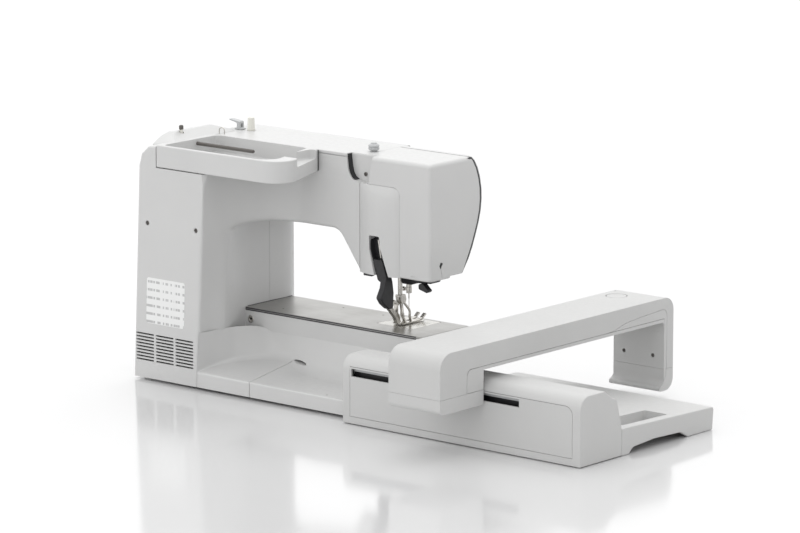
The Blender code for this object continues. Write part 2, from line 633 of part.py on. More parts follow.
# ---- things a hand touches ---------------------------------------------------------------------
def top_fittings():
    """Winder spindle, spool pins and thread guides on the top of the arm."""
    turned("winder_spindle", "Z", WINDER, [
        (326, 0), (326, 2.4), (369, 2.4), (369, 3.2), (375, 3.2), (375, 0)], DARK, 12)
    turned("spool_pin", "Z", (355, -46), [
        (330, 0), (330, 5.8), (375, 5.8), (376, 5), (376, 0)], CREAM, 16)
    turned("spool_rod", "X", (66, 350), [
        (249, 0), (249, 2.2), (250.5, 2.8), (359.6, 2.8), (359.6, 0)], DARK, 12)
    arch = [(364 + 5.2 * cos(pi * k / 10), 9, 361 + 5.2 * sin(pi * k / 10)) for k in range(11)]
    bend("thread_eyelet", [(369.2, 9, 356.6), *arch, (358.8, 9, 356.6)], 0.8, STEEL)
    guide = prism("thread_guide", rounded([
        (367, 356.3, 0), (381, 356.3, 0), (381, 358, 0), (377, 358, 0), (377, 366, 2),
        (392, 369, 0), (392, 371, 0), (371, 368.5, 2), (371, 358, 0), (367, 358, 0)], 2), "Y",
        -48, -38, SKIN_GREY)
    bar = block("cut_guide_notch", (368, -45, 359.5), (374, -41, 365))
    cut(guide, bar)
    turned("thread_stud", "Z", (94, -23), [
        (356.4, 0), (356.4, 6), (359, 7.5), (364, 7.5), (367.5, 5), (369, 4.6), (369, 0)],
        STEEL, 20)


def controls():
    """Buttons, knobs, speed slider, screen, power switch and inlet."""
    front = FRONT_Y - 8
    for name, x in (("start_button", -12), ("reverse_button", 66)):
        turned(name, "Y", (x, FACE_BUTTON_Z), [
            (front + 10, 0), (front + 10, 8), (front - 2, 8), (front - 2.6, 7), (front - 2.6, 0)],
            SKIN_GREY, 20)
    for name, x in (("upper_knob", 350), ("lower_knob", 380)):
        turned(name, "Y", (x, 112), [
            (FRONT_Y + 24, 0), (FRONT_Y + 24, 4), (FRONT_Y - 0.6, 4), (FRONT_Y - 0.6, 11.5),
            (FRONT_Y - 13, 11.5), (FRONT_Y - 14, 10), (FRONT_Y - 14, 0)], SKIN_GREY, 20)
    slider = block("speed_slider", (166, FRONT_Y - 6, 260), (178, FRONT_Y - 0.6, 268),
                   SKIN_GREY, 0.8)
    join(slider, block("add_slider_stem", (169, FRONT_Y - 2, 262.6), (175, FRONT_Y + 20, 265.4)))
    prism("display_screen", rounded([(330.5, 150.5, 3.5), (396.5, 150.5, 3.5),
                                     (396.5, 315.5, 3.5), (330.5, 315.5, 3.5)], 2), "Y",
          FRONT_Y - 0.4, FRONT_Y + 2.1, SCREEN)


def power_parts():
    """Mains inlet with its socket opening, and the rocker switch above it."""
    low, high = INLET_Y
    body = block("power_inlet", (386, low, 41), (414.6, high, 87), BLACK)
    opening = block("cut_inlet_mouth", (398, low + 5, 46), (430, low + 31, 64))
    rocker_seat = block("cut_rocker_seat", (400, high - 15, 47), (430, high - 3, 83))
    cut(body, opening, rocker_seat)
    prism("power_switch", [(403, 50), (412.5, 49), (415.5, 50), (413.2, 65), (415.5, 80),
                           (412.5, 81), (403, 80)], "Y", high - 14, high - 4, DARK)


# ---- embroidery module -------------------------------------------------------------------------
def module_plate():
    """Low plate that slides under the free arm, with its hand recess and arched foot."""
    x_low, x_high = MODULE_X[0], PLATE_X
    plate = prism("module_plate", rounded([
        (BOX_FRONT_Y - 0.4, 0, 0), (BOX_FRONT_Y - 0.4, PLATE_Z, 0), (40, PLATE_Z, 0),
        (PLATE_FRONT_Y, 34, 3), (-133, 0, 2), (-79, 0, 3), (-60, 9.5, 6), (49, 11, 8),
        (58, 0, 0)], 3), "X", x_low, x_high, SKIN)
    under = block("cut_plate_under", (x_low + 5, PLATE_FRONT_Y + 6, -5),
                  (x_high - 5, BOX_FRONT_Y - 6, 26))
    recess = block("cut_hand_recess", (-424, -49, 10), (-385, 57, 60))
    return cut(plate, under, recess)


def module_cover():
    """Tall rear box of the module: end walls, top and stepped front, open below."""
    outline = rounded([
        (MODULE_REAR_Y, 0, 0), (MODULE_REAR_Y, BOX_Z, 16), (114, BOX_Z, 4), (96, 87, 8),
        (BOX_FRONT_Y, 44, 4), (BOX_FRONT_Y, 0, 0)], 4)
    shell = prism("module_cover", outline, "X", *MODULE_X, SKIN)
    inner = prism("cut_box_inner", rounded([
        (MODULE_REAR_Y - WALL, -5, 0), (MODULE_REAR_Y - WALL, BOX_Z - WALL, 12),
        (114, BOX_Z - WALL, 3), (98, 83, 6), (BOX_FRONT_Y + WALL, 42, 3),
        (BOX_FRONT_Y + WALL, -5, 0)], 4), "X", MODULE_X[0] + 6, MODULE_X[1] - 6)
    window = prism("cut_rear_window", rounded([
        (-424.7, 11.7, 0), (-424.7, 84.3, 12), (-24, 84.3, 0), (-24, 11.7, 0)], 3), "Y",
        MODULE_REAR_Y - 8, MODULE_REAR_Y + 5)
    return cut(shell, inner, window)


def module_rear_panel():
    """Thin panel in the back of the box with the long slot for the arm carriage."""
    panel = prism("module_rear_panel", rounded([
        (-424.4, 12, 0), (-424.4, 84, 12), (-24.3, 84, 0), (-24.3, 12, 0)], 3), "Y",
        MODULE_REAR_Y - WALL, MODULE_REAR_Y, SKIN)
    slot = block("cut_carriage_slot", (SLOT_X[0], MODULE_REAR_Y - 10, SLOT_Z[0]),
                 (-26.3, MODULE_REAR_Y + 5, SLOT_Z[1]))
    return cut(panel, slot)


def module_rail():
    """Round guide rail along the inside of the box."""
    rod("module_rail", "X", (RAIL_Y, RAIL_Z), RAIL_R, MODULE_X[0] + 6.4, MODULE_X[1] - 6.4,
        STEEL, 16)


def arm_carriage():
    """Slider on the module's rail whose neck comes out through the slot to the arm."""
    x0, x1 = -250.0, -200.0
    slider = block("arm_carriage", (x0, 126, 61), (x1, 153, 84), CAST)
    neck = block("add_neck", (x0 + 5, 150, 74.4), (x1 - 5, 171.6, 80.6))
    cut(join(slider, neck), rod("cut_rail_bore", "X", (RAIL_Y, RAIL_Z), RAIL_R + 0.1, x0 - 5,
                                x1 + 5, None, 16))
    return slider


def arm_profile(inset):
    """Side view of the embroidery arm, (y, z): rear foot, bridge and front leg."""
    out = ARM_END_Y - inset
    return rounded([
        (out, 87.3 if inset == 0 else 60, 0), (out, BRIDGE_Z[1] - inset, 24),
        (-out, BRIDGE_Z[1] - inset, 20), (-out, 45.6 if inset == 0 else 30, 0),
        (-ARM_END_Y + LEG_T - inset, 45.6 if inset == 0 else 30, 0),
        (-ARM_END_Y + LEG_T - inset, 120.7 if inset == 0 else 100, 0),
        (208.3 if inset == 0 else 212, 120.7 if inset == 0 else 100, 0),
        (208.3 if inset == 0 else 212, 87.3 if inset == 0 else 60, 0)], 4)


def embroidery_arm():
    """The arm's shells: upper cover, underside with the rear block, and both lower ends."""
    cover = prism("arm_cover", arm_profile(0.0), "X", *ARM_X, SKIN)
    inner = prism("cut_arm_inner", arm_profile(WALL), "X", ARM_X[0] + WALL, ARM_X[1] - WALL)
    button_hole = rod("cut_arm_button", "Z", (-206.9, -213.9), 15.6, 140, 160, None, 32)
    side_slot = block("cut_hoop_slot", (ARM_X[1] - 8, -150, 124), (ARM_X[1] + 8, 190, 130))
    cut(cover, inner, button_hole, side_slot)
    underside = prism("arm_underside", [
        (-ARM_END_Y + LEG_T + 3, BRIDGE_Z[0]), (-ARM_END_Y + LEG_T + 3, 120.4),
        (208, 120.4), (208, 87.3), (MODULE_REAR_Y + 3.2, 87.3), (MODULE_REAR_Y + 3.2, BRIDGE_Z[0])],
        "X", *ARM_X, SKIN)
    cut(underside, block("cut_underside", (ARM_X[0] + 4, MODULE_REAR_Y + 6, 80),
                         (ARM_X[1] - 4, 230, 117)))
    foot = prism("arm_rear_foot", rounded([
        (MODULE_REAR_Y + 3.2, 87, 0), (MODULE_REAR_Y + 3.2, 66, 0), (ARM_END_Y, 66, 8),
        (ARM_END_Y, 87, 0)], 3), "X", *ARM_X, SKIN)
    cut(foot, block("cut_rear_foot", (ARM_X[0] + 4, MODULE_REAR_Y + 6, 69),
                    (ARM_X[1] - 4, ARM_END_Y - 4, 100)))
    leg = prism("arm_front_foot", rounded([
        (-ARM_END_Y, 45.3, 0), (-ARM_END_Y, 13, 18), (-ARM_END_Y + 40, 13, 0),
        (-ARM_END_Y + 40, 21, 0), (-ARM_END_Y + LEG_T, 21, 10), (-ARM_END_Y + LEG_T, 45.3, 0)],
        4), "X", *ARM_X, SKIN)
    turned("arm_button", "Z", (-206.9, -213.9), [
        (145.5, 0), (145.5, 15), (BRIDGE_Z[1] - 0.1, 15), (BRIDGE_Z[1] + 0.4, 13.5),
        (BRIDGE_Z[1] + 0.4, 0)], SKIN, 32)
    return leg


def hoop_drive():
    """Cross rod inside the arm and the carriage that takes the embroidery hoop."""
    rod("arm_rod", "Y", (-195, 136), 4.0, ROD_Y[0], ROD_Y[1], STEEL, 16)
    slider = block("hoop_carriage", (ARM_X[1] + 0.6, 0, 117.5), (-150, 66, 133), SKIN_GREY, 1.5)
    neck = block("add_hoop_neck", (-203, 14, 124.6), (ARM_X[1] + 4, 52, 129.4))
    saddle = block("add_hoop_saddle", (-203, 14, 124.6), (-187, 52, 143))
    cut(join(slider, neck, saddle), rod("cut_rod_bore", "Y", (-195, 136), 4.1, 0, 70, None, 16))
    return slider


def build():
    for old in list(bpy.data.objects):
        bpy.data.objects.remove(old, do_unlink=True)
    rear_casing()
    front_casing()
    top_cover()
    carry_handle()
    head_cover()
    head_slot_panel()
    face_cover()
    bed()
    bobbin_door()
    base()
    frame_casting()
    shaft_bush()
    main_shaft()
    handwheel()
    motor()
    drive_belt()
    head_bracket()
    needle_parts()
    take_up_lever()
    presser_parts()
    dual_feed_lever()
    threader_lever()
    feed_and_hook()
    top_fittings()
    controls()
    power_parts()
    module_plate()
    module_cover()
    module_rear_panel()
    module_rail()
    arm_carriage()
    embroidery_arm()
    hoop_drive()


build()
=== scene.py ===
"""Looks of the computerised sewing machine with its embroidery module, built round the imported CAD.

Frame: metres, +Z up, front of the machine at -Y, pillar at +X, embroidery module at -X.
Shapes are written in millimetres; MM turns them into metres.
"""
import json
from math import cos, exp, hypot, pi, radians, sin, sqrt

import bmesh
import bpy
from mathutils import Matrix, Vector


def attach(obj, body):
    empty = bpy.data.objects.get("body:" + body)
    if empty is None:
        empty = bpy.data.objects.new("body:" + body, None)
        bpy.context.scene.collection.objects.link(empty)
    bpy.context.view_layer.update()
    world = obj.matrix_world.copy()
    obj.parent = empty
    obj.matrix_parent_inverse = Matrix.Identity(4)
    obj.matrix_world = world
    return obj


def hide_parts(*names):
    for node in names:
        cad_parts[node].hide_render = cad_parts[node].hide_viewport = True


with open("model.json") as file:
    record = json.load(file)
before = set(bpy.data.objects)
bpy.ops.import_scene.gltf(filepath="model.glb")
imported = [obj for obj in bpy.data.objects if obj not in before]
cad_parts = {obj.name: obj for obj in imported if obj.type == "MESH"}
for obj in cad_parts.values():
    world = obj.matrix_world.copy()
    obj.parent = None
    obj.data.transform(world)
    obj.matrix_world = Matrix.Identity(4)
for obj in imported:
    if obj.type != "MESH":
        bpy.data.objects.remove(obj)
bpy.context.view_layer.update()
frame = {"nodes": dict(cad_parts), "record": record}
MM = 0.001

# ---- dimensions shared by several pieces, mm ----
REAR_Y = 146.4           # rear plane of the pillar
ARM_Y = 16               # rear face of the upper arm
FRONT_Y = -100
SEAM_Y = -22             # parting plane of front and rear casing
TOP_Z = 356
ARM_Z = 242              # underside of the upper arm
FOOT_Z = 4
SIDE_FOOT_X, SIDE_TOP_X = 420, 404
WALL_FOOT_X = 290        # pillar's rear inner edge at z 50
WALL_LEAN = 0.0537
WALL_X = 298             # face of the pillar beside the bed, inside the sewing space
BAND_INSET = 5           # from the rear inner edge to the soft edge of the sewing space
OPENING_R = 14           # corner of the sewing space
HEAD_X = (-45, 88)
KNOB_Z = 112
BUTTON_Z = 292           # start and reverse buttons on the face of the head
ARM_X = (-271.2, -179)
ARM_END = 266.7
BRIDGE_Z = (115.5, 151)
BOX_REAR = 168.75
BOX_X = (-438.5, -10.3)
NEEDLE_X = 38
NEEDLE_Y, PRESSER_Y = -36, -16
WINDER = (388, 72)       # bobbin winder spindle, (x, y)
SPOOL_PIN = (355, -46)
SOCKET = (287, 89.4)     # round socket on the free arm, (x, z)
ARM_KEY = (-206.9, -213.9)
REAR_SCREWS_X, REAR_SCREWS_Z = (388.7, 292), 238.5
LEG_SCREWS_X, LEG_SCREWS_Z = (-250.7, -198), 63.4
LEG_Y = -244.7           # inner face of the embroidery arm's front leg

# ---- camera and light ----
VIEW_AZIMUTH, VIEW_ELEVATION = 220.1, 11.2
CAMERA_PLACE = (-4.0982, 4.8963, 1.4646)
LENS = 202.5
STUDIO_LIGHT = (1.22, 0.86)   # world strength on the shaded side and on the lit side
SUN_STRENGTH, SUN_SPREAD = 0.7, 50


# ---- mesh helpers ----
def linked(name, data):
    obj = bpy.data.objects.new(name, data)
    bpy.context.scene.collection.objects.link(obj)
    return obj


def new_object(name, bm):
    bmesh.ops.scale(bm, vec=Vector((MM, MM, MM)), verts=bm.verts)
    bmesh.ops.recalc_face_normals(bm, faces=bm.faces)
    mesh = bpy.data.meshes.new(name)
    bm.to_mesh(mesh)
    bm.free()
    return linked(name, mesh)


def place(a, b, c, axis):
    return {"X": (c, a, b), "Y": (a, c, b), "Z": (a, b, c)}[axis]


def rounded(points, steps=8):
    """Closed outline from (a, b, corner radius) points."""
    outline = []
    count = len(points)
    for i, (a, b, radius) in enumerate(points):
        here = Vector((a, b))
        if radius <= 0:
            outline.append(here)
            continue
        back = (Vector(points[i - 1][:2]) - here).normalized()
        ahead = (Vector(points[(i + 1) % count][:2]) - here).normalized()
        half = back.angle(ahead) / 2
        centre = here + (back + ahead).normalized() * (radius / sin(half))
        reach = radius / sin(half) * cos(half)
        start = (here + back * reach - centre).normalized()
        end = (here + ahead * reach - centre).normalized()
        for k in range(steps + 1):
            outline.append(centre + start.slerp(end, k / steps) * radius)
    return outline


def skin(bm, rings, closed=True, capped=True):
    """Faces between rings of points; rings are lists of 3-D points of equal length."""
    grid = [[bm.verts.new(p) for p in ring] for ring in rings]
    count = len(grid[0])
    for ring, following in zip(grid, grid[1:]):
        for k in range(count if closed else count - 1):
            m = (k + 1) % count
            bm.faces.new((ring[k], ring[m], following[m], following[k]))
    if capped:
        bm.faces.new(grid[0][::-1])
        bm.faces.new(grid[-1])
    return grid


def loft(name, rings):
    bm = bmesh.new()
    skin(bm, rings)
    return new_object(name, bm)


def prism(name, outline, axis, low, high):
    return loft(name, [[place(p[0], p[1], c, axis) for p in outline] for c in (low, high)])


def box(name, low, high):
    outline = [(low[0], low[1]), (high[0], low[1]), (high[0], high[1]), (low[0], high[1])]
    return prism(name, outline, "Z", low[2], high[2])


def slab(name, axis, low, high, steps, points):
    """Prism of an outline with rounded corners."""
    return prism(name, rounded(points, steps), axis, low, high)


def rect(a0, b0, a1, b1, radius, steps):
    """Rectangle with rounded corners."""
    return rounded([(a0, b0, radius), (a1, b0, radius), (a1, b1, radius), (a0, b1, radius)], steps)


def circle(a, b, radius, steps=48):
    return [(a + radius * cos(2 * pi * k / steps), b + radius * sin(2 * pi * k / steps))
        for k in range(steps)]


def turned(name, axis, centre, profile, steps=48):
    """Solid of revolution from (position, radius) pairs, closed by flat ends."""
    rings = [[place(p[0], p[1], along, axis) for p in circle(*centre, max(radius, 0.05), steps)]
        for along, radius in profile]
    return loft(name, rings)


def final_mesh(obj):
    bpy.context.view_layer.update()
    graph = bpy.context.evaluated_depsgraph_get()
    return bpy.data.meshes.new_from_object(obj.evaluated_get(graph), depsgraph=graph)


def waved(centre, radius, wave, ridges, steps):
    """Ring of (a, b) points that ripples in and out."""
    points = []
    for k in range(steps):
        angle = 2 * pi * k / steps
        r = radius - wave * (1 + cos(ridges * angle))
        points.append((centre[0] + r * cos(angle), centre[1] + r * sin(angle)))
    return points


def bore(axis, centre, low, high, radius, steps):
    """Cutter for a round hole."""
    return turned("bore", axis, centre, [(low, radius), (high, radius)], steps)


def bake(obj):
    """Apply an object's modifiers to its mesh."""
    mesh = final_mesh(obj)
    obj.modifiers.clear()
    obj.data = mesh
    return obj


def combine(target, operation, tools):
    for tool in tools:
        step = target.modifiers.new("combine", "BOOLEAN")
        step.operation = operation
        step.object = tool
        step.solver = "EXACT"
    bake(target)
    for tool in tools:
        bpy.data.objects.remove(tool, do_unlink=True)
    return target


def cut(target, *tools):
    return combine(target, "DIFFERENCE", tools)


def join(target, *tools):
    return combine(target, "UNION", tools)


def limit(target, *tools):
    return combine(target, "INTERSECT", tools)


def soften(obj, width, segments=3, angle=35):
    """Round off the edges sharper than an angle."""
    step = obj.modifiers.new("edge", "BEVEL")
    step.width = width * MM
    step.segments = segments
    step.limit_method = "ANGLE"
    step.angle_limit = radians(angle)
    step.use_clamp_overlap = True
    return bake(obj)


def wire(name, points, radius, resolution=4):
    """Round wire along a smooth path, as a mesh."""
    curve = bpy.data.curves.new(name, "CURVE")
    curve.dimensions = "3D"
    curve.bevel_depth = radius * MM
    curve.bevel_resolution = resolution
    curve.use_fill_caps = True
    curve.resolution_u = 6
    spline = curve.splines.new("BEZIER")
    spline.bezier_points.add(len(points) - 1)
    for target, point in zip(spline.bezier_points, points):
        target.co = Vector(point) * MM
        target.handle_left_type = target.handle_right_type = "AUTO"
    holder = linked(name + "_path", curve)
    mesh = final_mesh(holder)
    bpy.data.objects.remove(holder, do_unlink=True)
    return linked(name, mesh)


def show(obj, slot, *nodes, on="machine", look=None, smooth=33):
    """Finish a piece: shading, material, the body it rides on and the CAD nodes it stands for."""
    obj.data.shade_smooth()
    obj.data.set_sharp_from_angle(angle=radians(smooth))
    weigh = obj.modifiers.new("normals", "WEIGHTED_NORMAL")
    weigh.keep_sharp = True
    obj.data.materials.clear()
    obj.data.materials.append(look or LOOKS[slot])
    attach(obj, on)
    if nodes:
        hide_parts(*nodes)
    return obj


# ---- materials ----
class Paint:
    """A node material under construction."""

    def __init__(self, name, roughness, metallic=0, **shader_values):
        self.material = bpy.data.materials.new(name)
        self.material.use_nodes = True
        self.tree = self.material.node_tree
        self.shader = self.tree.nodes["Principled BSDF"]
        self.set(self.shader, Metallic=metallic, Roughness=roughness)
        for key, value in shader_values.items():
            self.shader.inputs[key.replace("_", " ")].default_value = value
        self.place = self.tree.nodes.new("ShaderNodeTexCoord").outputs["Object"]

    def set(self, node, **values):
        for key, value in values.items():
            node.inputs[key.replace("_", " ")].default_value = value

    def add(self, kind, properties=None, **values):
        node = self.tree.nodes.new(kind)
        for key, value in (properties or {}).items():
            setattr(node, key, value)
        self.set(node, **values)
        return node

    def link(self, source, target):
        self.tree.links.new(source, target)

    def noise(self, scale, detail=3, stretch=(1, 1, 1)):
        """Noise value in the piece's own space, stretched per axis."""
        spread = self.add("ShaderNodeMapping")
        spread.inputs["Scale"].default_value = stretch
        texture = self.add("ShaderNodeTexNoise", Scale=scale, Detail=detail)
        self.link(self.place, spread.inputs["Vector"])
        self.link(spread.outputs["Vector"], texture.inputs["Vector"])
        return texture.outputs["Fac"]

    def ramp(self, value, low, high, start=0.35, end=0.65):
        """Value or colour that runs from low to high with a texture value."""
        node = self.add("ShaderNodeMapRange")
        self.set(node, From_Min=start, From_Max=end, To_Min=low, To_Max=high)
        self.link(value, node.inputs["Value"])
        return node.outputs["Result"]

    def bump(self, value, strength, distance, under=None):
        node = self.add("ShaderNodeBump", Strength=strength, Distance=distance)
        self.link(value, node.inputs["Height"])
        if under is not None:
            self.link(under, node.inputs["Normal"])
        return node.outputs["Normal"]

    def colour(self, factor, low, high):
        """Base colour that runs from low to high with a value."""
        node = self.add("ShaderNodeMix", {"data_type": "RGBA"})
        for socket in node.inputs:
            if socket.type == "RGBA":
                socket.default_value = (*(low if socket.name == "A" else high), 1)
        self.link(factor, node.inputs["Factor"])
        self.link(next(s for s in node.outputs if s.type == "RGBA"), self.shader.inputs["Base Color"])

    def finish(self, tone, dark, light, gloss, relief):
        """Material whose colour, roughness and normal follow textures."""
        self.colour(tone, dark, light)
        self.link(gloss, self.shader.inputs["Roughness"])
        self.link(relief, self.shader.inputs["Normal"])
        return self.material


def moulded(name, light, dark, roughness, grain=0.12, spread=0.06, **values):
    """Fine-grained moulded plastic: slight tone drift, uneven gloss and spark-eroded grain."""
    paint = Paint(name, roughness, **values)
    drift = paint.noise(9, 4)
    fine = paint.noise(1500, 2)
    soft = paint.noise(160, 3)
    relief = paint.bump(soft, grain * 0.5, 0.0002, paint.bump(fine, grain, 0.00012))
    return paint.finish(paint.ramp(drift, 0, 1, 0.3, 0.7), dark, light, paint.ramp(soft,
        roughness - spread, roughness + spread), relief)


def brushed(name, light, dark, roughness, stretch, scale=420, **values):
    """Metal with fine parallel brush lines; stretch is small along the lines."""
    paint = Paint(name, roughness, 1, **values)
    lines = paint.noise(scale, 5, stretch)
    cloud = paint.noise(14, 3)
    return paint.finish(paint.ramp(lines, 0, 1, 0.3, 0.7), dark, light, paint.ramp(cloud,
        roughness - 0.05, roughness + 0.07), paint.bump(lines, 0.25, 0.0001))


def cast(name, light, dark, roughness, metallic):
    """Blasted cast metal or rubber: coarse pits and blotches."""
    paint = Paint(name, roughness, metallic)
    pits = paint.noise(650, 6)
    cloud = paint.noise(35, 4)
    return paint.finish(paint.ramp(cloud, 0, 1), dark, light, paint.ramp(pits, roughness - 0.08,
        roughness + 0.08), paint.bump(pits, 0.4, 0.0003))


LOOKS = {"casing": moulded("white_casing", (0.625, 0.625, 0.62), (0.60, 0.60, 0.597), 0.34),
    "grey_trim": moulded("grey_trim", (0.52, 0.53, 0.535), (0.47, 0.48, 0.485), 0.42),
    "cream_plastic": moulded("cream_plastic", (0.80, 0.79, 0.73), (0.75, 0.74, 0.68), 0.4),
    "black_plastic": moulded("black_plastic", (0.02, 0.02, 0.022), (0.012, 0.012, 0.014), 0.42),
    "dark_rod": moulded("dark_rod", (0.12, 0.11, 0.10), (0.09, 0.082, 0.076), 0.4),
    "motor_case": cast("motor_case", (0.05, 0.05, 0.055), (0.03, 0.03, 0.033), 0.5, 0.6),
    "bed_metal": brushed("bed_metal", (0.40, 0.395, 0.38), (0.345, 0.34, 0.325), 0.34, (0.04, 1, 1)),
    "needle_plate_metal": brushed("needle_plate_metal", (0.60, 0.59, 0.56), (0.50, 0.49, 0.46), 0.27,
    (1, 0.05, 1)), "steel": brushed("steel", (0.66, 0.64, 0.60), (0.52, 0.50, 0.47), 0.22,
    (1, 1, 0.2)), "cast_metal": cast("cast_metal", (0.42, 0.43, 0.44), (0.33, 0.34, 0.35), 0.5,
    0.85), "bronze": cast("bronze", (0.52, 0.38, 0.19), (0.42, 0.30, 0.14), 0.4,
    1), "rubber": cast("rubber", (0.03, 0.03, 0.03), (0.018, 0.018, 0.018), 0.8,
    0), "screen": moulded("screen_glass", (0.012, 0.014, 0.018), (0.008, 0.01, 0.013), 0.1, 0.01, 0.03,
    Coat_Weight=1), }
MODULE_SKIN = moulded("module_casing", (0.585, 0.585, 0.58), (0.56, 0.56, 0.555), 0.55,
    Specular_IOR_Level=0.2)
LABEL_GREY = (0.50, 0.50, 0.50)
# Dark sheet set into gaps and grooves: painted shade where seams and grooves fall into shadow.
GAP_SHADE = moulded("seam_shadow", (0.07, 0.07, 0.075), (0.045, 0.045, 0.05), 0.6)


def dress_cad():
    """Give every CAD node that stays visible the procedural material of its slot."""
    slots = {part["node"]: part["material_slot"] for part in frame["record"]["subparts"]}
    for name, obj in frame["nodes"].items():
        slot = slots[name]
        obj.data.materials.clear()
        obj.data.materials.append(LOOKS[slot])


def backing(name, low, high, look=None):
    """Dark block behind a slot, or a sheet of painted shade in a gap."""
    show(box(name, low, high), "black_plastic", look=look)


# ---- main casings ----
def drop(distance, radius):
    """How far a rounded edge has fallen at a distance inside its outer limit."""
    if distance >= radius:
        return 0
    return radius - sqrt(max(0, radius ** 2 - (radius - max(distance, 0)) ** 2))


def side_x(z):
    return SIDE_FOOT_X - (z - FOOT_Z) * (SIDE_FOOT_X - SIDE_TOP_X) / (TOP_Z - FOOT_Z)


def wall_x(z):
    """Pillar's rear inner edge, which leans towards the head going up."""
    return WALL_FOOT_X - WALL_LEAN * (z - 50)


def underside_z(x):
    """Underside of the upper arm, which runs down to the head."""
    outline = rounded([(300, ARM_Z, 0), (129, ARM_Z, 26), (88.3, 185, 0), (300, 185, 0)], 10)
    path = sorted([p for p in outline[:-1]], key=lambda p: p[0])
    for a, b in zip(path, path[1:]):
        if a[0] <= x <= b[0] and b[0] > a[0]:
            return a[1] + (b[1] - a[1]) * (x - a[0]) / (b[0] - a[0])
    return ARM_Z


def outer_reach(start, heading):
    """Distance from a point to the casing's outline seen from behind, with its top corner."""
    corner = 30

    def inside(t):
        x, z = start[0] + heading[0] * t, start[1] + heading[1] * t
        side, top = side_x(z) - x, TOP_Z - z
        if side < corner and top < corner:
            return corner - hypot(corner - side, corner - top) > 0
        return min(side, top) > 0

    low, high = 0, 500
    for _ in range(40):
        middle = (low + high) / 2
        if inside(middle):
            low = middle
        else:
            high = middle
    return low


def opening_rays():
    """(start, heading, pillar share) along the edge of the sewing space, foot to head."""
    inset = BAND_INSET
    corner_z = ARM_Z - OPENING_R
    centre = (wall_x(corner_z) - inset - OPENING_R, corner_z)
    rays = []
    for k in range(13):
        z = FOOT_Z + (corner_z - FOOT_Z) * k / 12
        rays.append(((wall_x(z) - inset, z), (1, 0), 1))
    for k in range(1, 17):
        angle = pi / 2 * k / 16
        heading = (cos(angle), sin(angle))
        start = (centre[0] + OPENING_R * heading[0], centre[1] + OPENING_R * heading[1])
        rays.append((start, heading, cos(angle) ** 2))
    left = HEAD_X[1] + 0.5
    for k in range(1, 31):
        x = centre[0] + (left - centre[0]) * k / 30
        rays.append(((x, underside_z(x)), (0, 1), 0))
    return rays


def rear_y(x, z):
    """Rear surface: pillar plane, then the cove that sweeps into the arm."""
    edge = wall_x(z)
    inside = edge - x
    if inside <= 0:
        return REAR_Y - drop(-inside, 5)
    share = min(1, inside / (edge - 195))
    return ARM_Y + (REAR_Y - 5 - ARM_Y) * (1 - sqrt(max(0, 1 - (1 - share) ** 2)))


def bent(points, size, steps=7):
    """Replace the middle corner of three points by a smooth curve reaching size along each leg."""
    before, corner, after = (Vector(p) for p in points)
    a = corner + (before - corner).normalized() * min(size, (before - corner).length * 0.95)
    b = corner + (after - corner).normalized() * min(size, (after - corner).length * 0.95)
    return [(a * (1 - t) ** 2 + corner * 2 * t * (1 - t) + b * t ** 2) for t in (k / steps
        for k in range(steps + 1))]


def half_casing(name, rows):
    """Closed solid from rows of equal length, each row running seam - face - seam."""
    bm = bmesh.new()
    grid = skin(bm, rows, closed=False, capped=False)
    bm.faces.new(grid[0])
    bm.faces.new(grid[-1][::-1])
    bm.faces.new([row[0] for row in grid][::-1] + [row[-1] for row in grid])
    return new_object(name, bm)


def wall_recess(start, pillar):
    """How far the sewing space's wall stands back from the soft edge behind it."""
    corner_z = ARM_Z - OPENING_R
    return (WALL_X - wall_x(min(start[1], corner_z)) + BAND_INSET) * pillar


def rear_row(start, heading, pillar):
    """One cross-section of the rear casing along a ray from the sewing space outwards."""
    reach = outer_reach(start, heading)
    low_y = rear_y(*start)

    def at(t):
        return start[0] + heading[0] * t, start[1] + heading[1] * t

    depth = wall_recess(start, pillar)

    def recess(y):
        share = max(0, min(1, (low_y - 8 - y) / max(1, low_y - 8 - 25)))
        return depth * sin(share * pi / 2) ** 1.3

    profile = [(recess(y), y) for y in (SEAM_Y + 0.25 + (low_y - SEAM_Y - 0.25) * k / 14
        for k in range(14))]
    crossing = reach - 6
    if heading[0] > 0.02:
        t = 0
        for _ in range(30):
            x, z = at(t)
            t += (wall_x(z) - x) / heading[0]
        crossing = min(crossing, t)
    face = [(t, rear_y(*at(t))) for t in (crossing * (1 - (1 - k / 14) ** 2) for k in range(15))]
    lift = exp(-((start[0] - 258) / 26) ** 2) * (start[1] > ARM_Z - OPENING_R - 12)
    size = 7 + 13 * lift
    below = (recess(low_y - size), low_y - size)
    reach_in = next((k for k, p in enumerate(face) if hypot(p[0], p[1] - low_y) > size), 2)
    fillet = bent((below, (0, low_y), face[reach_in]), size)
    keep_wall = [p for p in profile if p[1] < fillet[0][1] - 0.5]
    wall = resample(keep_wall + [tuple(fillet[0])], 10)
    rest = resample([tuple(fillet[-1])] + face[reach_in + 1:], 16, 0.6)
    rounding = [(crossing + 5 * s, REAR_Y - drop(5 * s, 5)) for s in (0.08, 0.25, 0.5, 1)]
    if crossing >= reach - 6.1:
        rounding = [(crossing + 1 * s, rest[-1][1]) for s in (0.2, 0.4, 0.7, 1)]
    top_y = rounding[-1][1]
    edge = [(reach - e, top_y - drop(e, 4)) for e in (4, 2.6, 1.4, 0.5, 0)]
    rows = wall[:-1] + [tuple(p) for p in fillet] + rest[1:] + rounding + edge
    rows.append((reach, SEAM_Y + 0.25))
    return [(*at(t)[:1], y, at(t)[1]) for t, y in rows]


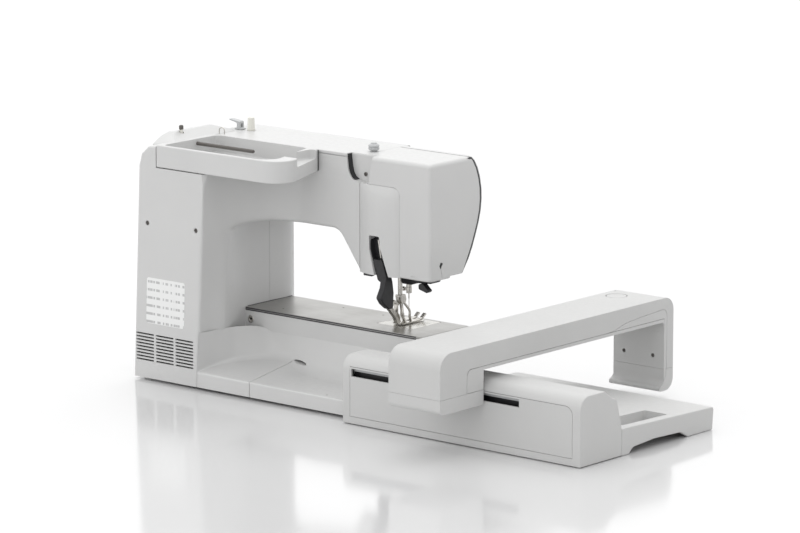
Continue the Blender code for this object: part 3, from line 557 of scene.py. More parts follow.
def resample(points, count, power=1):
    """count points spread along a polyline; power below 1 packs them towards its end."""
    lengths = [0]
    for a, b in zip(points, points[1:]):
        lengths.append(lengths[-1] + hypot(b[0] - a[0], b[1] - a[1]))
    result = []
    for k in range(count):
        wanted = lengths[-1] * (k / (count - 1)) ** power
        i = max(j for j, length in enumerate(lengths[:-1]) if length <= wanted + 1e-9)
        piece = lengths[i + 1] - lengths[i]
        share = 0 if piece < 1e-9 else min(1, (wanted - lengths[i]) / piece)
        result.append((points[i][0] + (points[i + 1][0] - points[i][0]) * share,
            points[i][1] + (points[i + 1][1] - points[i][1]) * share))
    return result


def front_row(start, heading, pillar):
    """One cross-section of the front casing, with its large soft edge along the pillar."""
    reach = outer_reach(start, heading)
    seam = SEAM_Y - 0.25
    past_corner = wall_x(ARM_Z - OPENING_R) - BAND_INSET - OPENING_R - start[0]
    share = max(0, min(1, 1 - past_corner / 100))
    size = 16 + 34 * share * share * (3 - 2 * share)

    def at(t):
        return start[0] + heading[0] * t, start[1] + heading[1] * t

    inner = wall_recess(start, pillar)
    fillet = bent(((inner, seam), (inner - 4 * pillar, FRONT_Y), (reach, FRONT_Y)), size, 12)
    wall = [(inner, seam)] + [tuple(p) for p in fillet]
    outer_r = 4 + 16 * min(1, heading[0] * 1.5)
    edge = [(reach - e * outer_r, FRONT_Y + drop(e * outer_r, outer_r))
        for e in (1, 0.75, 0.5, 0.28, 0.1, 0)]
    middle = [(wall[-1][0] + (edge[0][0] - wall[-1][0]) * s, FRONT_Y) for s in (0.33, 0.66)]
    rows = wall + middle + edge + [(reach, seam)]
    return [(at(t)[0], y, at(t)[1]) for t, y in rows]


def inner_profile(left, rise):
    """Side outline (x, z) of the hollow inside pillar and arm."""
    return rounded([(left, TOP_Z - 8, 0), (left, 194 + rise, 0), (134, ARM_Z + rise, 10),
        (308, ARM_Z + rise, 6), (308, 7, 0), (412, 7, 0), (398, TOP_Z - 8, 24)], 4)


def rear_shell():
    shell = half_casing("rear_shell", [rear_row(*ray) for ray in opening_rays()])
    inner = prism("inner", inner_profile(HEAD_X[1] - 20, 5), "Y", -40, ARM_Y - 3)
    pillar = slab("inner_pillar", "Y", 0, REAR_Y - 3, 4, [(306, 7, 0), (411, 7, 0), (398, 318, 10),
        (306, 318, 10)])
    seat = box("seat", (90, ARM_Y - 0.2, 322.9), (370.6, 200, 400))
    door = box("door", (262, -60, 43.4), (312, 8, 104))
    sill = box("sill", (260, -80, 0), (396.6, 33.6, 43.2))
    lid = box("lid", (40, -120, TOP_Z - 5.3), (398, ARM_Y, 400))
    bm = bmesh.new()
    for x, z in [(299 + 39.5 * column, 30 + 4.9 * row) for row in range(9) for column in range(3)]:
        ring = rect(x, z, x + 36, z + 2.5, 1.1, 4)
        skin(bm, [[(p[0], y, p[1]) for p in ring] for y in (REAR_Y - 8, REAR_Y + 4)])
    vents = new_object("vents", bm)
    inlet = box("inlet", (380, 75, 40), (440, 127, 88))
    screw_seats = [turned("hole", "Y", (x, REAR_SCREWS_Z), [(REAR_Y - 2.4, 3.6), (REAR_Y + 2, 3.9)],
        32) for x in REAR_SCREWS_X]
    winder = turned("winder_hole", "Z", WINDER, [(310, 5), (341, 5), (341.1, 3.9), (400, 3.9)], 24)
    strip_line = groove([(367, 103), (401, 27)], "Z", TOP_Z, 0.8)
    cut(shell, inner, pillar)
    cut(shell, seat, door, sill, lid, vents, inlet, winder, notch_tool(), strip_line, *screw_seats)
    show(shell, "casing", "rear_casing")
    backing("vent_backing", (297, REAR_Y - 5.5, 27), (417, REAR_Y - 4.5, 76))
    for i, x in enumerate(REAR_SCREWS_X):
        screw(f"rear_screw_{i}", (x, REAR_Y - 1.8, REAR_SCREWS_Z), "Y", 3.4)


def screw(name, centre, axis, radius, sign=1, body="machine"):
    """Pan-head screw with a cross slot, seen along +axis or -axis."""
    flat = {"X": (1, 2), "Y": (0, 2), "Z": (0, 1)}[axis]
    along = {"X": 0, "Y": 1, "Z": 2}[axis]
    a, b, c = centre[flat[0]], centre[flat[1]], centre[along]
    head = turned(name, axis, (a, b), [(c - 3 * sign, radius * 0.5), (c - 0.2 * sign, radius * 0.55),
        (c - 0.1 * sign, radius * 0.92), (c + 0.5 * sign, radius * 0.9), (c + 1 * sign, radius * 0.6),
        (c + 1.1 * sign, radius * 0.2)], 32)
    tools = []
    for wide, tall in ((radius * 0.55, radius * 0.13), (radius * 0.13, radius * 0.55)):
        low, high = [0, 0, 0], [0, 0, 0]
        low[flat[0]], high[flat[0]] = a - wide, a + wide
        low[flat[1]], high[flat[1]] = b - tall, b + tall
        low[along], high[along] = min(c + 0.1 * sign, c + 3 * sign), max(c + 0.1 * sign, c + 3 * sign)
        tools.append(box("slot", low, high))
    cut(head, *tools)
    return show(head, "dark_rod", on=body)


def front_shell():
    shell = half_casing("front_shell", [front_row(*ray) for ray in opening_rays()])
    inner = prism("inner", inner_profile(HEAD_X[1] - 20, 22), "Y", -80, 20)
    plan = prism("keep", [(60, -82), (60, 30), (420, 30), (398, -84), (345, -84), (318, -70),
        (304, -40), (304, -82)][::-1], "Z", 0, 400)
    screen = prism("screen", rect(330, 150, 397, 316, 4, 5), "Y", FRONT_Y - 5, FRONT_Y + 2.5)
    holes = [bore("Y", (x, KNOB_Z), FRONT_Y - 5, FRONT_Y + 30, 4.6, 32) for x in (350, 380)]
    lid = box("lid", (40, -97, TOP_Z - 5.3), (398, 20, 400))
    door = box("door", (262, -60, 43.3), (312, 20, 104))
    sill = box("sill", (260, -66.4, 0), (396.6, 33.3, 43.2))
    shaft = bore("X", (-45, 300), 380, 440, 8, 32)
    slider = box("slider", (150, FRONT_Y - 5, 262), (196, FRONT_Y + 30, 266))
    limit(inner, plan)
    cut(shell, inner)
    cut(shell, screen, lid, door, sill, shaft, slider, *holes)
    show(shell, "casing", "front_casing")


# ---- surface details shared by several pieces ----
def band(path, width):
    """Closed outline of a strip of even width along a path of 2-D points."""
    points = [Vector(p) for p in path]
    left, right = [], []
    for i, point in enumerate(points):
        along = (points[min(i + 1, len(points) - 1)] - points[max(i - 1, 0)]).normalized()
        side = Vector((-along.y, along.x)) * width / 2
        left.append(point + side)
        right.append(point - side)
    return left + right[::-1]


def groove(path, axis, level, depth, width=0.8):
    """Cutter for a parting line drawn on a flat face at a level along an axis."""
    low, high = sorted((level - depth, level + depth))
    return prism("groove", band(path, width), axis, low, high)


def arc(centre, radius, start, end, steps=8):
    """Points of an arc between two angles in degrees."""
    return [(centre[0] + radius * cos(radians(start + (end - start) * k / steps)),
        centre[1] + radius * sin(radians(start + (end - start) * k / steps))) for k in range(steps + 1)]


# ---- top and rear of the arm ----
def top_lid():
    lid = prism("top_lid", [(88.6, -96.7), (397.7, -96.7), (397.7, 15.7), (88.6, 15.7)], "Z", TOP_Z - 5,
        TOP_Z)
    soften(lid, 1.4)
    cut(lid, bore("Z", SPOOL_PIN, 300, 400, 6.4, 40), notch_tool())
    show(lid, "casing", "top_cover")
    rise = slab("winder_rise", "Y", -34, 116, 5, [(406, 340, 0), (406, 361, 8), (399, 367, 6),
        (391, 367, 10), (372, 356.6, 12), (371, 356.3, 0), (371, 340, 0)])
    limit(rise, slab("keep", "X", 360, 420, 6, [(116, 339, 0), (116, 350, 8), (84, 368, 12),
        (4, 368, 30), (-34, 355.5, 20), (-34, 339, 0)]))
    soften(rise, 2, 3, 40)
    cut(rise, bore("Z", WINDER, 330, 380, 3.9, 32))
    show(rise, "casing", smooth=40)


def carry_tray():
    """Lip and tray behind the arm; its rim drops at the head end."""
    near = ARM_Y + 2.6
    body = slab("carry_tray", "Z", 324, TOP_Z + 1, 14, [(369.9, REAR_Y, 0), (117, REAR_Y, 30),
        (166, near, 0), (369.9, near, 0)])
    soften(body, 1.8, 3)
    tray = slab("tray", "Z", 331, 400, 10, [(361, REAR_Y - 6, 8), (147, REAR_Y - 6, 24),
        (183, near + 4, 8), (361, near + 4, 10)])
    soften(tray, 3, 3, 60)
    scoop = slab("scoop", "Z", 344, 400, 8, [(90, 99, 0), (172, 99, 6), (172, 27, 6), (90, 27, 0)])
    soften(scoop, 3, 3, 60)
    cut(body, tray, scoop)
    show(body, "casing", "carry_handle", smooth=40)
    # Dark sheet in the gap between handle and arm: painted shade.
    backing("handle_gap_shade", (166.6, ARM_Y + 0.1, 324.5), (368, near - 0.05, 355), GAP_SHADE)


# ---- needle head ----
def head_front(step=0):
    """Curved parting line between the head's rear and front shells, (y, z) from top to foot."""
    return [(-74 + step, TOP_Z + 2), (-81 + step, 350), (-88.5 + step, 338), (-94 + step, 323),
        (-97 + step, 308), (-97.6 + step, 292), (-96 + step, 276), (-91 + step, 258), (-84 + step, 240),
        (-76.5 + step, 223), (-68 + step, 207), (-54 + step, 184 - 3)]


def head_shell():
    """Rear and end shell of the needle head."""
    low_x, high_x = HEAD_X
    top = [(TOP_Z - 6 + 6 * sin(a), 6 * (1 - cos(a))) for a in (pi / 2 * k / 6 for k in range(1, 7))]
    levels = [(184, 2.2), (184.6, 1), (186.2, 0), (210, 0), (280, 0), (TOP_Z - 6, 0)] + top
    rings = []
    for z, inset in levels:
        plan = rounded([(low_x + inset, ARM_Y - inset, 6), (low_x + inset, -104, 4), (high_x, -104, 0),
            (high_x, ARM_Y - inset, 0)], 8)
        rings.append([(x, y, z) for x, y in plan])
    shell = loft("head_shell", rings)
    front = prism("front", [(-200, 400), (-200, 100)] + [(y, z)
        for y, z in head_front(0.6)][::-1], "X", -100, 200)
    cavity = slab("cavity", "Z", 150, TOP_Z - 3, 4, [(low_x + 3, ARM_Y - 3, 5), (low_x + 3, -150, 0),
        (high_x + 10, -150, 0), (high_x + 10, ARM_Y - 3, 0)])
    seat = slab("seat", "Y", -20, 40, 8, [(11.8, 100, 0), (11.8, 315.6, 13), (88.8, 315.6, 0),
        (88.8, 100, 0)])
    step = prism("step", [(-200, 180), (-26, 180), (-30, 187.5), (-200, 187.5)], "X", -60, 60)
    hook_seat = slab("hook_seat", "X", -60, low_x + 1.6, 4, [(-14, 208, 1), (-8, 211, 2), (-5, 205, 2),
        (-9, 199, 1), (-10.5, 204, 1)])
    line = groove([(-9, 199), (-11.5, 187)], "X", low_x, 0.6, 0.9)
    mark = box("mark", (-18, ARM_Y - 1, 188.6), (-10, ARM_Y + 1, 189.8))
    cut(shell, front, cavity, seat, notch_tool(), step, hook_seat, line, mark)
    show(shell, "casing", "head_cover", smooth=40)
    backing("thread_cutter", (low_x + 1, -13, 200), (low_x + 1.4, -6, 211))


def notch_tool():
    """Recess where head and arm meet, behind the top."""
    outline = rounded([(114, 362, 0), (110.5, 332, 20), (104, 319.5, 12), (90, 315.6, 10),
        (71, 315.2, 3), (63.5, 362, 0)], 8)
    return prism("notch", outline, "Y", 4, 40)


def head_panel():
    """Narrow rear panel with the tall slot for the upper feed lever; it swells outwards."""
    rings = []
    for z in (181, 182.2, 184, 200, 230, 260, 285, 300, 307, 312, 314.6, 315.2):
        rise = 1 if z < 290 else max(0, 1 - ((z - 290) / 25.2) ** 2)
        corner = 0 if z < 303 else 12 - sqrt(max(0, 144 - (z - 303.2) ** 2))
        low_x, high_x = 12.4 + corner, 88.1
        ring = []
        for k in range(25):
            share = k / 24
            x = low_x + (high_x - low_x) * share
            swell = 8 * rise * sin(pi * min(1, share * 1.02)) ** 0.8
            edge = 0.6 if k in (0, 24) else 0
            ring.append((x, ARM_Y + swell - edge, z))
        ring += [(high_x, 8, z), (low_x, 8, z)]
        rings.append(ring)
    panel = loft("head_panel", rings)
    slot = slab("slot", "Y", -20, 60, 5, [(52, 100, 0), (52, 178, 20), (64.5, 222, 20), (65, 242, 3),
        (44.5, 242, 3), (43, 226, 20), (27, 178, 20), (27, 100, 0)])
    cut(panel, slot, box("below", (0, -20, 150), (100, 60, 184)))
    show(panel, "casing", "head_slot_panel", smooth=40)
    backing("slot_backing", (22, -6.5, 186), (68, -5.8, 246))


def notch_parts():
    """Inside of the recess between head and arm: its wall, a black strip of painted shade in its gap,
    and screw.
    """
    wall = slab("notch_wall", "Y", 0.4, 5, 8, [(112.4, 355.4, 0), (112.4, 350, 0), (115.5, 350, 0),
        (113.5, 332, 20), (106, 318, 12), (90, 313.6, 10), (67, 313.2, 2), (65.2, 350, 0),
        (65, 355.4, 0)])
    soften(wall, 1.2, 3, 60)
    show(wall, "casing", smooth=40)
    # Black strip along the recess edge: painted shade in the gap.
    dark = groove([(112.8, 355), (110.2, 337), (107.2, 327), (103.2, 321.4), (98, 318.6)], "Y", 8, 5.4,
        1.2)
    dark.name = "notch_gap_shade"
    show(dark, "black_plastic")
    sill = groove([(98.5, 317.2), (90, 314.6), (71.5, 314.2)], "Y", 8.6, 4.6, 2)
    sill.name = "notch_sill"
    show(sill, "casing")
    screw("notch_screw", (85, 5.6, 327), "Y", 3.4)


def face_shell():
    """Bulging front shell of the head, its take-up slot, and a dark sheet of painted shade in the gap
    behind it.
    """
    low_x, high_x = HEAD_X
    back = [(y, min(z, TOP_Z)) for y, z in head_front(-3.2)]
    back[-1] = (-56.5, 187.5)
    fore = [(-88, TOP_Z), (-95, 350), (-101, 342), (-106, 330), (-108, 314), (-108, 294), (-108, 276),
        (-103.5, 259), (-98, 245), (-89, 226), (-80, 207), (-66, 187.5)]
    across = ((low_x + 0.1, 0), (low_x + 0.4, 0.1), (-42.5, 0.35), (-39.5, 0.62), (-36, 0.86), (-32, 1),
        (83, 1), (86.5, 0.92), (high_x, 0.7), (high_x, 0))
    rings = [[(x, b[0] + (f[0] - b[0]) * share, b[1] + (f[1] - b[1]) * share)
        for x, share in across] for b, f in zip(back, fore)]
    shell = loft("face_shell", rings)
    hollow = prism("hollow", [(0, TOP_Z - 3), (-84, TOP_Z - 3), (-97, 341), (-105, 315), (-105, 275),
        (-94, 245), (-76, 207), (-61, 150), (0, 150)], "X", low_x + 14, high_x - 3)
    slot = slab("slot", "Y", -150, -60, 5, [(34, 244, 2), (42, 244, 2), (42, 343, 3.5), (34, 343, 3.5)])
    holes = [bore("Y", (x, BUTTON_Z), -150, -60, 8.5, 40) for x in (-12, 66)]
    cut(shell, hollow, slot, *holes)
    show(shell, "casing", "face_cover", smooth=40)
    # Thin dark sheet along the head's parting line: painted shade in the gap between face and head
    # shells.
    inner = [(y + 3.2, z) for y, z in head_front()]
    outer = [(y - 4.6, z) for y, z in head_front()]
    gap_shade_sheet = prism("face_gap_shade", [(y, min(max(z, 188.2), TOP_Z - 0.9))
        for y, z in inner + outer[::-1]], "X", low_x + 0.7, high_x - 0.9)
    cut(gap_shade_sheet, box("hollow", (low_x + 14, -140, 150), (high_x - 4, 10, TOP_Z - 4)))
    show(gap_shade_sheet, "black_plastic", look=GAP_SHADE)


def head_floor():
    """Black plate under the head, with the holes for both bars, and the parts that hang from it."""
    plate = slab("head_floor", "Z", 188.5, 190.5, 5, [(-41.5, -58, 3), (84, -58, 3), (84, 2, 3),
        (64, 2, 2), (64, -4.5, 2), (-41.5, -4.5, 3)])
    holes = [bore("Z", centre, 180, 200, radius, 32)
        for centre, radius in (((NEEDLE_X, NEEDLE_Y), 6.5), ((NEEDLE_X, PRESSER_Y), 5.5),
        ((-18, -2), 4.5))]
    cut(plate, *holes)
    show(plate, "black_plastic")
    show(wire("bar_thread_guide", [(30, -44, 189), (30, -46, 181), (34, -47, 178), (42, -47, 178),
        (46, -46, 181), (46, -44, 189)], 0.8), "steel")
    block = slab("floor_block", "Y", -31, -9, 5, [(-30, 188.3, 0), (-26, 176, 3), (2, 174, 3),
        (12, 170, 3), (30.5, 170, 3), (30.5, 188.3, 0)])
    soften(block, 1.5)
    cut(block, *[bore("Z", centre, 160, 200, 6, 32)
        for centre in ((NEEDLE_X, NEEDLE_Y), (NEEDLE_X, PRESSER_Y))])
    show(block, "black_plastic")
    show(soften(box("rear_nub", (68, 6, 178.5), (84, 13, 183.5)), 1.2), "black_plastic")


# ---- bed and free arm ----
def bed_parts():
    plate = slab("bed_top", "Z", 104, 107, 6, [(-45.8, -72, 4), (297.5, -72, 0), (297.5, 29, 5),
        (293, 33.2, 4), (-45.8, 33.2, 4)])
    soften(plate, 0.5, 2)
    tools = [box("seat", (1.7, -66.3, 90), (70.3, -0.7, 120)), box("groove_seat", (-33, 30.6, 100),
        (310, 40, 120))]
    for x, y in ((244, 9), (180, -54), (100, -51)):
        tools.append(turned("hole", "Z", (x, y), [(100, 1.6), (106.9, 1.6), (110, 2.4)], 24))
    cut(plate, *tools)
    show(plate, "bed_metal", "bed_plate")
    # Two dark strips along the bed's rear edge: painted shade in its grooves.
    for i, (low, high) in enumerate(((102, 103.7), (104.6, 106.4))):
        show(prism(f"bed_groove_shade_{i}", [(30.8, low), (33.5, low), (33.5, high), (30.8, high)], "X", -33,
            296.5), "black_plastic", look=GAP_SHADE)
    show(prism("bed_rail", [(30.7, 103.8), (33.3, 103.8), (33.3, 104.5), (30.7, 104.5)], "X", -33, 297),
        "bed_metal")
    # Dark strip between bed and pillar: painted shade in the gap.
    backing("bed_end_gap_shade", (296.3, -71, 104.4), (297.4, 28, 107.5), GAP_SHADE)
    show(prism("bed_rail_top", [(30.7, 106.45), (33.2, 106.45), (32.9, 107), (30.7, 107)], "X", -33,
        297), "bed_metal")
    stitch_plate()


def stitch_plate():
    plate = prism("stitch_top", rect(2.1, -65.9, 69.9, -1.1, 3, 6), "Z", 104, 107.1)
    soften(plate, 0.5, 2)
    tools = []
    for x in (25.5, 44.5):
        tools.append(prism("slot", rect(x, -58, x + 6, -18, 1.5, 5), "Z", 90, 120))
    tools.append(prism("slot", rect(33, -38, 43, -34, 1.9, 6), "Z", 90, 120))
    for k in range(1, 5):
        for side in (-1, 1):
            x = NEEDLE_X + side * (12 + 4 * k)
            tools.append(box("mark", (x - 0.3, -52, 106.7), (x + 0.3, -20 - 3 * (k % 2), 110)))
    cut(plate, *tools)
    show(plate, "needle_plate_metal", "stitch_plate")


def free_arm():
    section = rounded([(-72, 103.7, 1.5), (-72, 43, 6), (33, 43, 0), (33, 103.7, 1.5)], 5)
    shell = prism("free_arm", section, "X", -45.9, 297.6)
    cavity = box("cavity", (-80, -69, 46), (310, 30, 130))
    socket = bore("Y", SOCKET, 20, 50, 4.6, 40)
    cut(shell, cavity, socket)
    show(shell, "casing", "free_arm_casing")
    show(turned("socket_ring", "Y", SOCKET, [(31, 2.2), (32.6, 2.2), (33.4, 3.6), (33.4, 5.4),
        (32.9, 6), (29.5, 6)], 40), "steel")
    show(turned("socket_pin", "Y", SOCKET, [(24, 1.2), (33.6, 1.2), (34, 0.9)], 20), "black_plastic")


def end_door():
    """Drop-down end of the free arm, rounded in plan and along its top."""
    rings = []
    for z, grow in ((49, -3), (51, -1), (55, 0), (80, 0), (96, 0), (101, -0.9), (104, -2.5), (106, -5),
            (106.7, -8)):
        plan = rounded([(-46.2, -71.5, 0), (-62 - grow, -71.5, 12), (-62 - grow, 32.6, 12),
            (-46.2, 32.6, 0)], 8)
        rings.append([(x, y, z) for x, y in plan])
    door = loft("end_door", rings)
    hollow = box("hollow", (-58, -66, 52), (0, 27, 101))
    cut(door, hollow)
    show(door, "casing", "bobbin_door", on="free_arm_door", smooth=40)


def plinth():
    """Low cover behind the bed: it wraps from the pillar into the free arm as one hollow."""
    keys = [  # top of the wall, foot of the wall, rear edge x, size of the foot's curve
        ((288.4, 145.8, 86), (291, 145.6, 28), 291.2, 1),
        ((285.4, 126, 86), (286.5, 134, 31), 285, 3),
        ((284, 102, 86), (277, 114, 35), 268, 5),
        ((281, 72, 85), (263, 91, 39), 247, 7),
        ((270, 44, 83), (241, 65, 41), 226, 9),
        ((256, 32.4, 80), (216, 52, 42), 208, 12),
        ((228, 32.4, 78), (190, 46, 42), 188.5, 15),
        ((196, 32.4, 78), (171, 50, 37), 166, 18),
        ((150, 32.4, 78), (142, 53, 31), 142, 20),
        ((80, 32.4, 78), (80, 54, 29), 80, 22),
        ((30, 32.4, 78), (30, 54, 30), 30, 22),
        ((-9.7, 32.4, 78), (-9.7, 52, 32), -9.7, 22)]
    rows = []
    for i in range(len(keys) - 1):
        for k in range(8):
            rows.append(between(keys, i, k / 8))
    rows.append(between(keys, len(keys) - 2, 1))
    rings = []
    for top, foot, rear_x, size in rows:
        rear = (rear_x, REAR_Y, 26.5)
        spread = hypot(rear[0] - foot[0], rear[1] - foot[1])
        edge = min(3, spread * 0.4)
        curve = bent3(top, foot, rear, size)
        shoulder = bent3(foot, rear, (rear_x, REAR_Y, 4), edge, 4)
        ring = [top] + curve + shoulder + [(rear_x, REAR_Y, 4.2)]
        back = (top[0] + (4 if top[1] > 40 else 0), min(top[1], 33.2) if top[1] < 40 else top[1], 4.2)
        ring.append(back)
        rings.append([tuple(p) for p in ring])
    cover = loft("plinth_cover_rear", rings)
    tools = [groove([(188.5, 160), (188.8, 100), (189.5, 50)], "Z", 34, 30, 1.1),
        bore("Z", (47, 137), 20, 50, 1.8, 24)]
    # Lens-shaped cut with a black block behind it: painted shade of the step beside the seam.
    lens = [(174.5 + 13 * cos(a), 41.6 + (2.8 if sin(a) > 0 else 1.6) * sin(a) + 1.5 * cos(a))
        for a in (2 * pi * k / 32 for k in range(32))]
    tools.append(prism("lens", lens, "Y", 20, 66))
    cut(cover, *tools)
    show(cover, "casing", "plinth_cover", smooth=50)
    backing("step_shade_backing", (156, 34, 32), (192, 36, 50))


def between(keys, i, t):
    """Smooth in-between of neighbouring key rows."""
    def flat(key):
        return [*key[0], *key[1], key[2], key[3]]
    p = [flat(keys[max(0, min(len(keys) - 1, i + d))]) for d in (-1, 0, 1, 2)]
    out = []
    for a, b, c, d in zip(*p):
        out.append(0.5 * (2 * b + (c - a) * t + (2 * a - 5 * b + 4 * c - d) * t ** 2
            + (3 * b - a - 3 * c + d) * t ** 3))
    return tuple(out[0:3]), tuple(out[3:6]), out[6], out[7]


def bent3(before, corner, after, size, steps=8):
    """Curve round the middle of three 3-D points."""
    before, corner, after = Vector(before), Vector(corner), Vector(after)
    a = corner + (before - corner).normalized() * min(size, (before - corner).length * 0.9)
    b = corner + (after - corner).normalized() * min(size, (after - corner).length * 0.6)
    return [a * (1 - t) ** 2 + corner * 2 * t * (1 - t) + b * t ** 2 for t in (k / steps
        for k in range(steps + 1))]


def base_parts():
    pan = slab("base_tray", "Z", 4, 42.6, 8, [(-10, 33, 0), (-10, -66, 14), (396, -66, 14),
        (396, 33, 0)])
    soften(pan, 1.5, 3, 60)
    cut(pan, box("hollow", (-7, -63, 0), (393, 30, 38.6)))
    show(pan, "casing", "base_pan")
    for name, x in (("foot_strip_head", 2), ("foot_strip_pillar", 300)):
        show(slab(name + "_soft", "X", x, x + 14, 5, [(-60, 0, 0.6), (-60, 3.7, 2), (120, 3.7, 2),
            (120, 0, 0.6)]), "rubber", name)


# ---- presser foot, feed lever, threader ----
def presser_foot():
    x = NEEDLE_X
    clamp = slab("foot_clamp", "X", x - 5, x + 5, 5, [(-23, 151.6, 1.5), (-10, 151.6, 1.5),
        (-12, 143, 2), (-15, 138, 3), (-23, 138, 3), (-25, 144, 2)])
    soften(clamp, 0.8, 2)
    legs = []
    for side in (-1, 1):
        legs.append(wire("leg", [(x + side * 2.6, -20, 141), (x + side * 5.6, -24, 134),
            (x + side * 7.8, -28, 127), (x + side * 7.6, -28.5, 118), (x + side * 5.8, -33, 110.2)],
            1.9, 4))
        legs.append(wire("leg", [(x + side * 2.6, -17, 140), (x + side * 6, -13.8, 131),
            (x + side * 7.6, -13.8, 123), (x + side * 6.2, -17, 114), (x + side * 5.2, -22, 110.2)],
            1.8, 4))
    sole = prism("sole", rounded([(-12.8, 108.2, 0.5), (-56, 108.2, 8), (-66, 115.5, 0.6),
        (-64.4, 117.6, 0.6), (-55.5, 111, 7), (-46, 110.2, 3), (-12.8, 110.4, 0.5)][::-1], 5), "X",
        x - 10, x + 10)
    soften(sole, 0.4, 2)
    gaps = [slab("gap", "Z", 100, 130, 5, [(x - 3.4, -90, 0), (x - 3.4, -46, 3), (x + 3.4, -46, 3),
        (x + 3.4, -90, 0)]), prism("gap", rect(x - 3.5, -40, x + 3.5, -31, 2, 5), "Z", 100, 130)]
    for side in (-1, 1):
        gaps.append(slab("gap", "Z", 100, 130, 5, [(x + side * 12, -90, 0), (x + side * 8.6, -90, 0),
            (x + side * 8.6, -50, 3), (x + side * 12, -46, 0)]))
    cut(sole, *gaps)
    join(clamp, *legs)
    join(clamp, sole)
    clamp.name = "presser_foot_shaped"
    show(clamp, "steel", "presser_foot", on="presser", smooth=40)


def needle_clamp():
    body = turned("needle_clamp", "Z", (NEEDLE_X, NEEDLE_Y), [(150.6, 2.6), (151.2, 4.4), (160, 4.4),
        (161, 3.7), (163.5, 3.7)], 40)
    knob = turned("clamp_screw", "X", (NEEDLE_Y, 156), [(42, 1.8), (45.6, 1.8), (45.8, 3.2), (51, 3.4),
        (51.6, 2.6)], 24)
    join(body, knob)
    show(body, "steel", on="needle_carrier")


def feed_lever():
    """Black swing lever behind the foot, its elbow block and the sprung metal feeder."""
    arm = slab("feed_lever", "Y", 9, 21.5, 6, [(49, 236, 2), (64, 236, 2), (64, 222, 12), (50, 177, 5),
        (33.5, 168, 3), (33.5, 184, 10), (47, 224, 12)])
    soften(arm, 1.6, 3)
    cut(arm, prism("step", [(40, 207), (57.3, 207), (62, 222), (62, 240), (40, 240)], "Y", 13, 30))
    elbow = slab("elbow", "X", 33, 43.5, 6, [(9, 184, 3), (21, 184, 3), (25, 167, 4), (33, 153, 4),
        (26, 143.5, 4), (15, 135, 3), (5, 134, 3), (3.5, 158, 5), (6, 174, 4)])
    soften(elbow, 1.8, 3)
    join(arm, elbow)
    show(arm, "black_plastic", "dual_feed_lever", on="upper_feed", smooth=40)
    outline = rounded([(15, 138, 2), (-2, 120, 4), (-7.5, 109.2, 1), (-12.2, 109.2, 1), (-12.2, 119, 3),
        (-8.2, 126, 4), (-8.4, 140, 3), (0, 147, 2), (8, 140, 3)], 5)
    feeder = prism("feeder", outline, "X", 35, 41.5)
    window = slab("window", "X", 20, 60, 4, [(-5.5, 124, 1.5), (-6, 139, 1.5), (0, 142, 1.5),
        (4, 136, 1.5)])
    cut(feeder, window)
    join(feeder, box("sole", (31, -12.2, 109), (45, -7.6, 111.4)))
    soften(feeder, 0.5, 2)
    show(feeder, "steel", on="upper_feed", smooth=40)
    show(prism("feed_spring", [(53.6, 235), (55.4, 235), (50.4, 208), (48.6, 208)], "Y", 12.9, 13.8),
        "steel", on="upper_feed")


def threader():
    lever = slab("threader_grip", "Y", -7, 3, 6, [(-32, 167.5, 2), (-27, 164.6, 2), (-12, 168.6, 3),
        (-11.5, 176, 3), (-20, 178.5, 4), (-25, 173.5, 3)])
    soften(lever, 1.4, 3)
    rod = turned("rod", "Z", (-18, -2), [(172, 2.5), (300, 2.5)], 24)
    join(lever, rod)
    show(lever, "black_plastic", "threader_lever", on="threader", smooth=40)


# ---- fittings and controls ----
def top_fittings():
    show(turned("winder_post", "Z", WINDER, [(326, 2.4), (369.2, 2.4)], 32), "dark_rod",
        "winder_spindle", on="winder", look=LOOKS["cream_plastic"])
    show(turned("winder_cap", "Z", WINDER, [(368.8, 2.8), (369.4, 3.4), (374, 3.4), (375.2, 2.6),
        (375.6, 1.2)], 32), "dark_rod", on="winder")
    show(turned("upright_spool_pin", "Z", SPOOL_PIN, [(330, 5.8), (357, 5.8), (357.4, 6.1),
        (359.2, 6.1), (359.6, 5.6), (374, 5.3), (375.4, 4.8), (376, 3.4)], 40), "cream_plastic",
        "spool_pin", on="upright_pin")
    show(turned("spool_bar", "X", (66, 350), [(248.6, 1.2), (249.2, 2.2), (250.6, 2.8), (362, 2.8)],
        32), "dark_rod", "spool_rod")
    loop = [(364 + 5.2 * cos(pi * k / 8), 9, 361.2 + 5 * sin(pi * k / 8)) for k in range(9)]
    show(wire("eyelet_loop", [(369.2, 9, 356.6), *loop, (358.8, 9, 356.6)], 0.8), "steel",
        "thread_eyelet")
    guide = slab("rear_thread_guide", "Y", -48, -38, 5, [(367, 356.3, 0.6), (381, 356.3, 0.6),
        (381, 358, 0.6), (377, 358.4, 1), (377, 366, 2), (392, 369, 0.5), (392, 371, 0.5),
        (371, 368.5, 2), (371, 358.4, 1), (367, 358, 0.6)])
    soften(guide, 0.5, 2)
    cut(guide, box("notch", (368, -45, 359.5), (374, -41, 365)))
    show(guide, "grey_trim", "thread_guide")
    stud = turned("pretension_stud", "Z", (94, -23), [(356.4, 5.2), (357.8, 5.2), (358.2, 7),
        (359.6, 8.2), (361.4, 8.2), (362, 7.2), (362.6, 7.2), (363.2, 8), (365.2, 8), (366.6, 6.6),
        (367.2, 4.8), (368.6, 4.4), (369, 3.8)], 48)
    show(stud, "cream_plastic", "thread_stud", look=LOOKS["grey_trim"])


